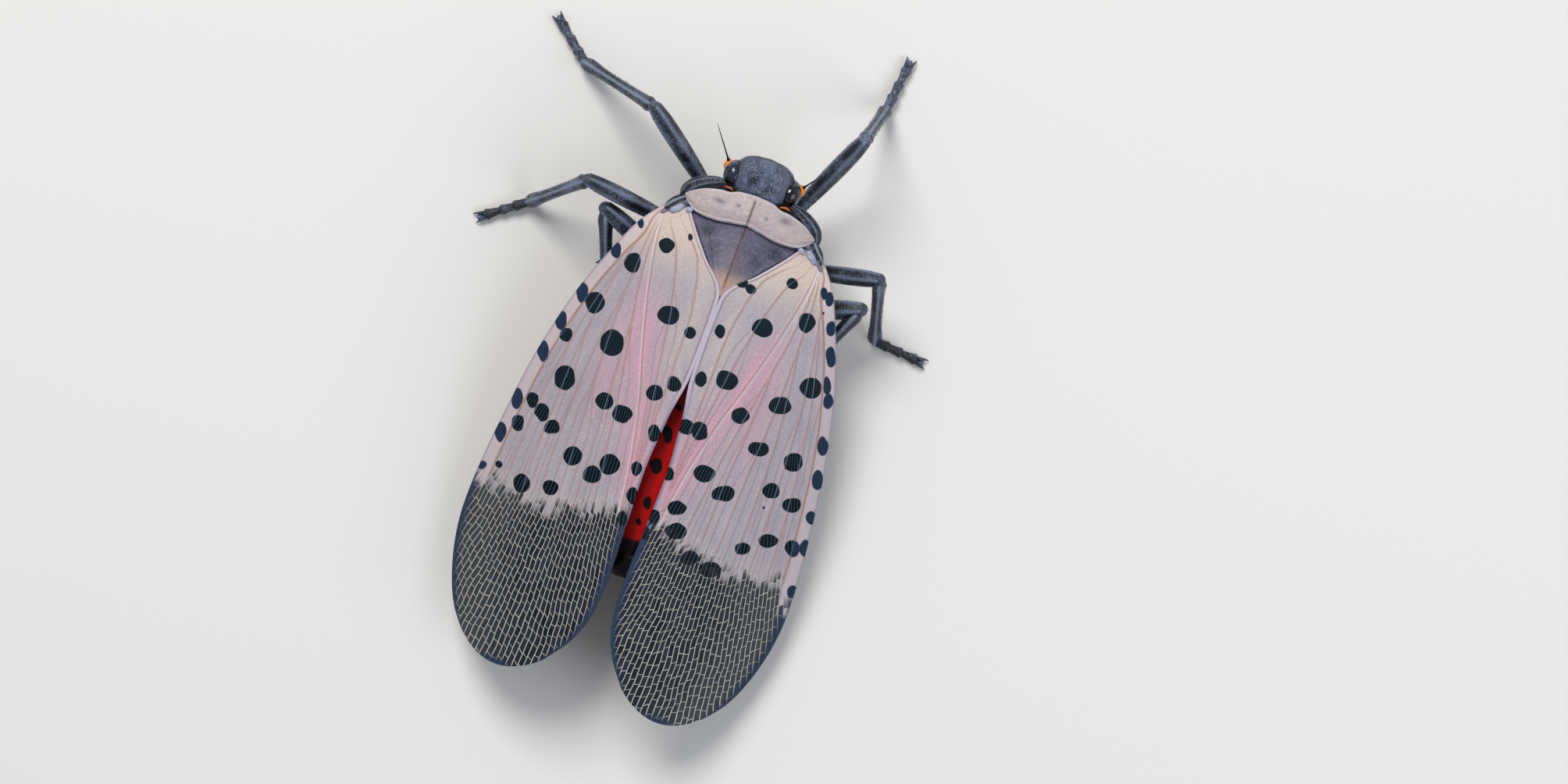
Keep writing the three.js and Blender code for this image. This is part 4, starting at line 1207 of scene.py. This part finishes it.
def bristles(parts, start, end, radius, rows, count, long, phase=0.0):
    """Short stiff hairs in rows along a limb, leaning towards its end."""
    way = unit(end - start)
    side = unit(np.cross(way, UP))
    top = np.cross(side, way)
    for row in range(rows):
        angle = phase + 2 * np.pi * row / rows
        outward = side * np.cos(angle) + top * np.sin(angle)
        for k in range(count):
            share = (k + 0.5 + RNG.uniform(-0.3, 0.3)) / count
            root = start + (end - start) * (0.06 + 0.88 * share) + outward * radius * 0.9
            size = long * RNG.uniform(0.7, 1.2)
            path = root + unit(outward + way * 0.9) * np.linspace(0, 1, 4)[:, None] * size
            parts.add(*tube(path, np.linspace(0.018, 0.004, 4), 5, up=(0.3, 0.9, 0.2)))


def spines(parts, knee, ankle):
    along = ankle - knee
    outward = unit(np.array([np.copysign(1, knee[0]), 0.25, -0.1]))
    back = unit(along)
    places = [(share, unit(outward + back * 0.55), SPINE_LONG) for share in HIND_SPINES]
    places += [(END_SPINES, unit(outward * turn + back), END_SPINE_LONG) for turn in (-1, 1)]
    share = np.linspace(0, 1, 10)
    for start, way, long in places:
        path = knee + along * start + way * share[:, None] * long
        parts.add(*tube(path, 0.13 * (1 - share) ** 0.8 + 0.008, 14))


def foot(parts, ankle, toe):
    """Three joints, each wider at its end, then a pair of claws and the pad between them."""
    along = toe - ankle
    for start, end, slim, wide in TARSUS_JOINTS:
        profile = ((0, slim), (0.7, (slim + wide) / 2), (1, wide))
        points, faces = bar(ankle + along * start, ankle + along * end, profile, 16, sides=26)
        points[:, 2] = np.maximum(points[:, 2], SOLE)
        parts.add(points, faces)
    ahead = unit(along * (1, 1, 0))
    beside = np.array([-ahead[1], ahead[0], 0])
    share = np.linspace(0, 1, 14)
    for turn in (-1, 1):
        path = toe + np.outer(turn * (0.1 + 0.12 * share), beside) + np.outer(0.1 + 0.5 * share, ahead)
        path[:, 2] = 0.26 + 0.06 * np.sin(np.pi * share) - 0.2 * share**2
        parts.add(*tube(path, 0.085 * (1 - share) ** 0.7 + 0.01, 14))
    parts.add(*ball(toe + ahead * 0.3 - UP * 0.08, (0.16, 0.2, 0.1), 20, 12), 0.3)


def leg(name, side, material):
    *upper, ankle, toe = LEGS[name][side]
    places = (*upper, (*ankle, ANKLE_HIGH), (*toe, TOE_HIGH))
    hip, trochanter, knee, ankle, toe = (np.array(place) for place in places)
    thick = FEMUR_THICK[name]
    thigh = (FEMUR_ROOT, *[(share, thick * part) for share, part in FEMUR_PROFILE])
    shin = knee + unit(ankle - knee) * 0.12
    parts = Parts()
    parts.add(*bar(hip, trochanter, COXA_PROFILE, 20, sides=28))
    parts.add(*ball(trochanter, TROCHANTER_RADII, 28, 18))
    # Femur and tibia are paler along their ribs' crests: a painted highlight.
    parts.add(*ribbed(trochanter, knee, thigh, 50, 40, 5, 0.08, 0.55))
    parts.add(*ball(knee, [thick * KNEE_SHARE] * 3, 28, 18), 0.1)
    parts.add(*ribbed(shin, ankle, TIBIA_PROFILE, 60, 32, 4, 0.12, 0.75))
    bristles(parts, knee, ankle, 0.24, 6, 22, 0.14)
    bristles(parts, trochanter, knee, thick * 0.95, 5, 14, 0.1, 0.4)
    if name == "hind":
        spines(parts, knee, ankle)
    foot(parts, ankle, toe)
    nodes = [f"{part}_{name}_{side}" for part in LEG_PARTS]
    return parts.make(f"leg_{name}_{side}", material, nodes)


# Everything built

SHELL = dark_cuticle("head_cuticle", (28, 32, 48), (136, 148, 180), 0.6, 3.4, 0.36)
THORAX = dark_cuticle("thorax_cuticle", (24, 28, 40), (132, 146, 178), 0.5, 4.0, 0.42)
LEG = dark_cuticle("leg_cuticle", (30, 34, 46), (138, 152, 182), 0.68, 6.0, 0.42)
HINGE = dark_cuticle("hinge_cuticle", (26, 31, 44), (176, 182, 206), 0.28, 5.0, 0.4)
EYES = eye_finish()
MEMBRANE_TAN = plain_finish("neck_tan", (206, 116, 52), (132, 70, 40), 0.45)
ORANGE = antenna_finish()
WINGS = wing_finish()
SCARLET = hindwing_finish()

pronotum(pronotum_finish())
mesonotum(mesonotum_finish())
head(SHELL)
collar(MEMBRANE_TAN)
beak(SHELL)
thorax(THORAX)
abdomen(abdomen_finish())
for side_name, side_sign in SIDES.items():
    eye(side_name, side_sign, EYES)
    antenna(side_name, side_sign, ORANGE)
    hinge(side_name, side_sign, HINGE)
    forewing(side_name, side_sign, WINGS)
    hindwing(side_name, side_sign, SCARLET)
    for leg_name in LEGS:
        leg(leg_name, side_name, LEG)


# Floor, light and camera

FLOOR_HALF_METRES = 0.4
LENS_MM = 150.0
SENSOR_MM = 36.0
FOCUS_HEIGHT = 6.4
SKY_COLOUR = (0.86, 0.9, 1.0, 1)
SKY_STRENGTH = 0.34


def floor():
    mesh = bpy.data.meshes.new("floor")
    corners = np.array([(-1, -1, 0), (1, -1, 0), (1, 1, 0), (-1, 1, 0)]) * FLOOR_HALF_METRES
    mesh.from_pydata(corners.tolist(), [], [(0, 1, 2, 3)])
    look = Finish("pale_floor", 0.8, 0.2)
    look.ground = (228, 226, 222)
    mesh.materials.append(look.done())
    thing = added("floor", mesh)


def lamp(name, place, size, watts, colour):
    light = bpy.data.lights.new(name, "AREA")
    light.shape = "DISK"
    light.size = size * MM
    light.energy = watts
    light.color = colour
    thing = added(name, light)
    thing.location = Vector(place) * MM
    aim = Vector((0, 0, 3 * MM)) - thing.location
    thing.rotation_euler = aim.to_track_quat("-Z", "Y").to_euler()


def camera():
    """Square to the insect's back, with the photograph's framing, from a close-up lens's distance."""
    across = (PHOTO_WIDE / 2 - BODY_PIXEL[0]) / PIXELS_PER_MM
    down = (PHOTO_HIGH / 2 - BODY_PIXEL[1]) / PIXELS_PER_MM
    away = PHOTO_WIDE / PIXELS_PER_MM * LENS_MM / SENSOR_MM
    data = bpy.data.cameras.new("camera")
    data.lens = LENS_MM
    data.sensor_width = SENSOR_MM
    data.clip_start = 0.01
    data.clip_end = 10.0
    right = Vector((-np.cos(LEAN), -np.sin(LEAN), 0))
    up = Vector((np.sin(LEAN), -np.cos(LEAN), 0))
    turn = Matrix((right, up, right.cross(up))).transposed().to_4x4()
    place = right * across - up * down + Vector(SHIFT) + Vector((0, 0, FOCUS_HEIGHT + away))
    thing = added("camera", data)
    thing.matrix_world = Matrix.Translation(place * MM) @ turn
    bpy.context.scene.camera = thing


def world():
    sky = bpy.data.worlds.new("soft_sky")
    sky.use_nodes = True
    background = sky.node_tree.nodes["Background"]
    background.inputs["Color"].default_value = SKY_COLOUR
    background.inputs["Strength"].default_value = SKY_STRENGTH
    bpy.context.scene.world = sky


floor()
camera()
world()
lamp("key", (120, -160, 260), 160, 0.8, (1.0, 0.98, 0.95))
lamp("fill", (-200, 40, 180), 200, 0.28, (0.9, 0.95, 1.0))
bpy.context.scene.view_settings.view_transform = "Standard"
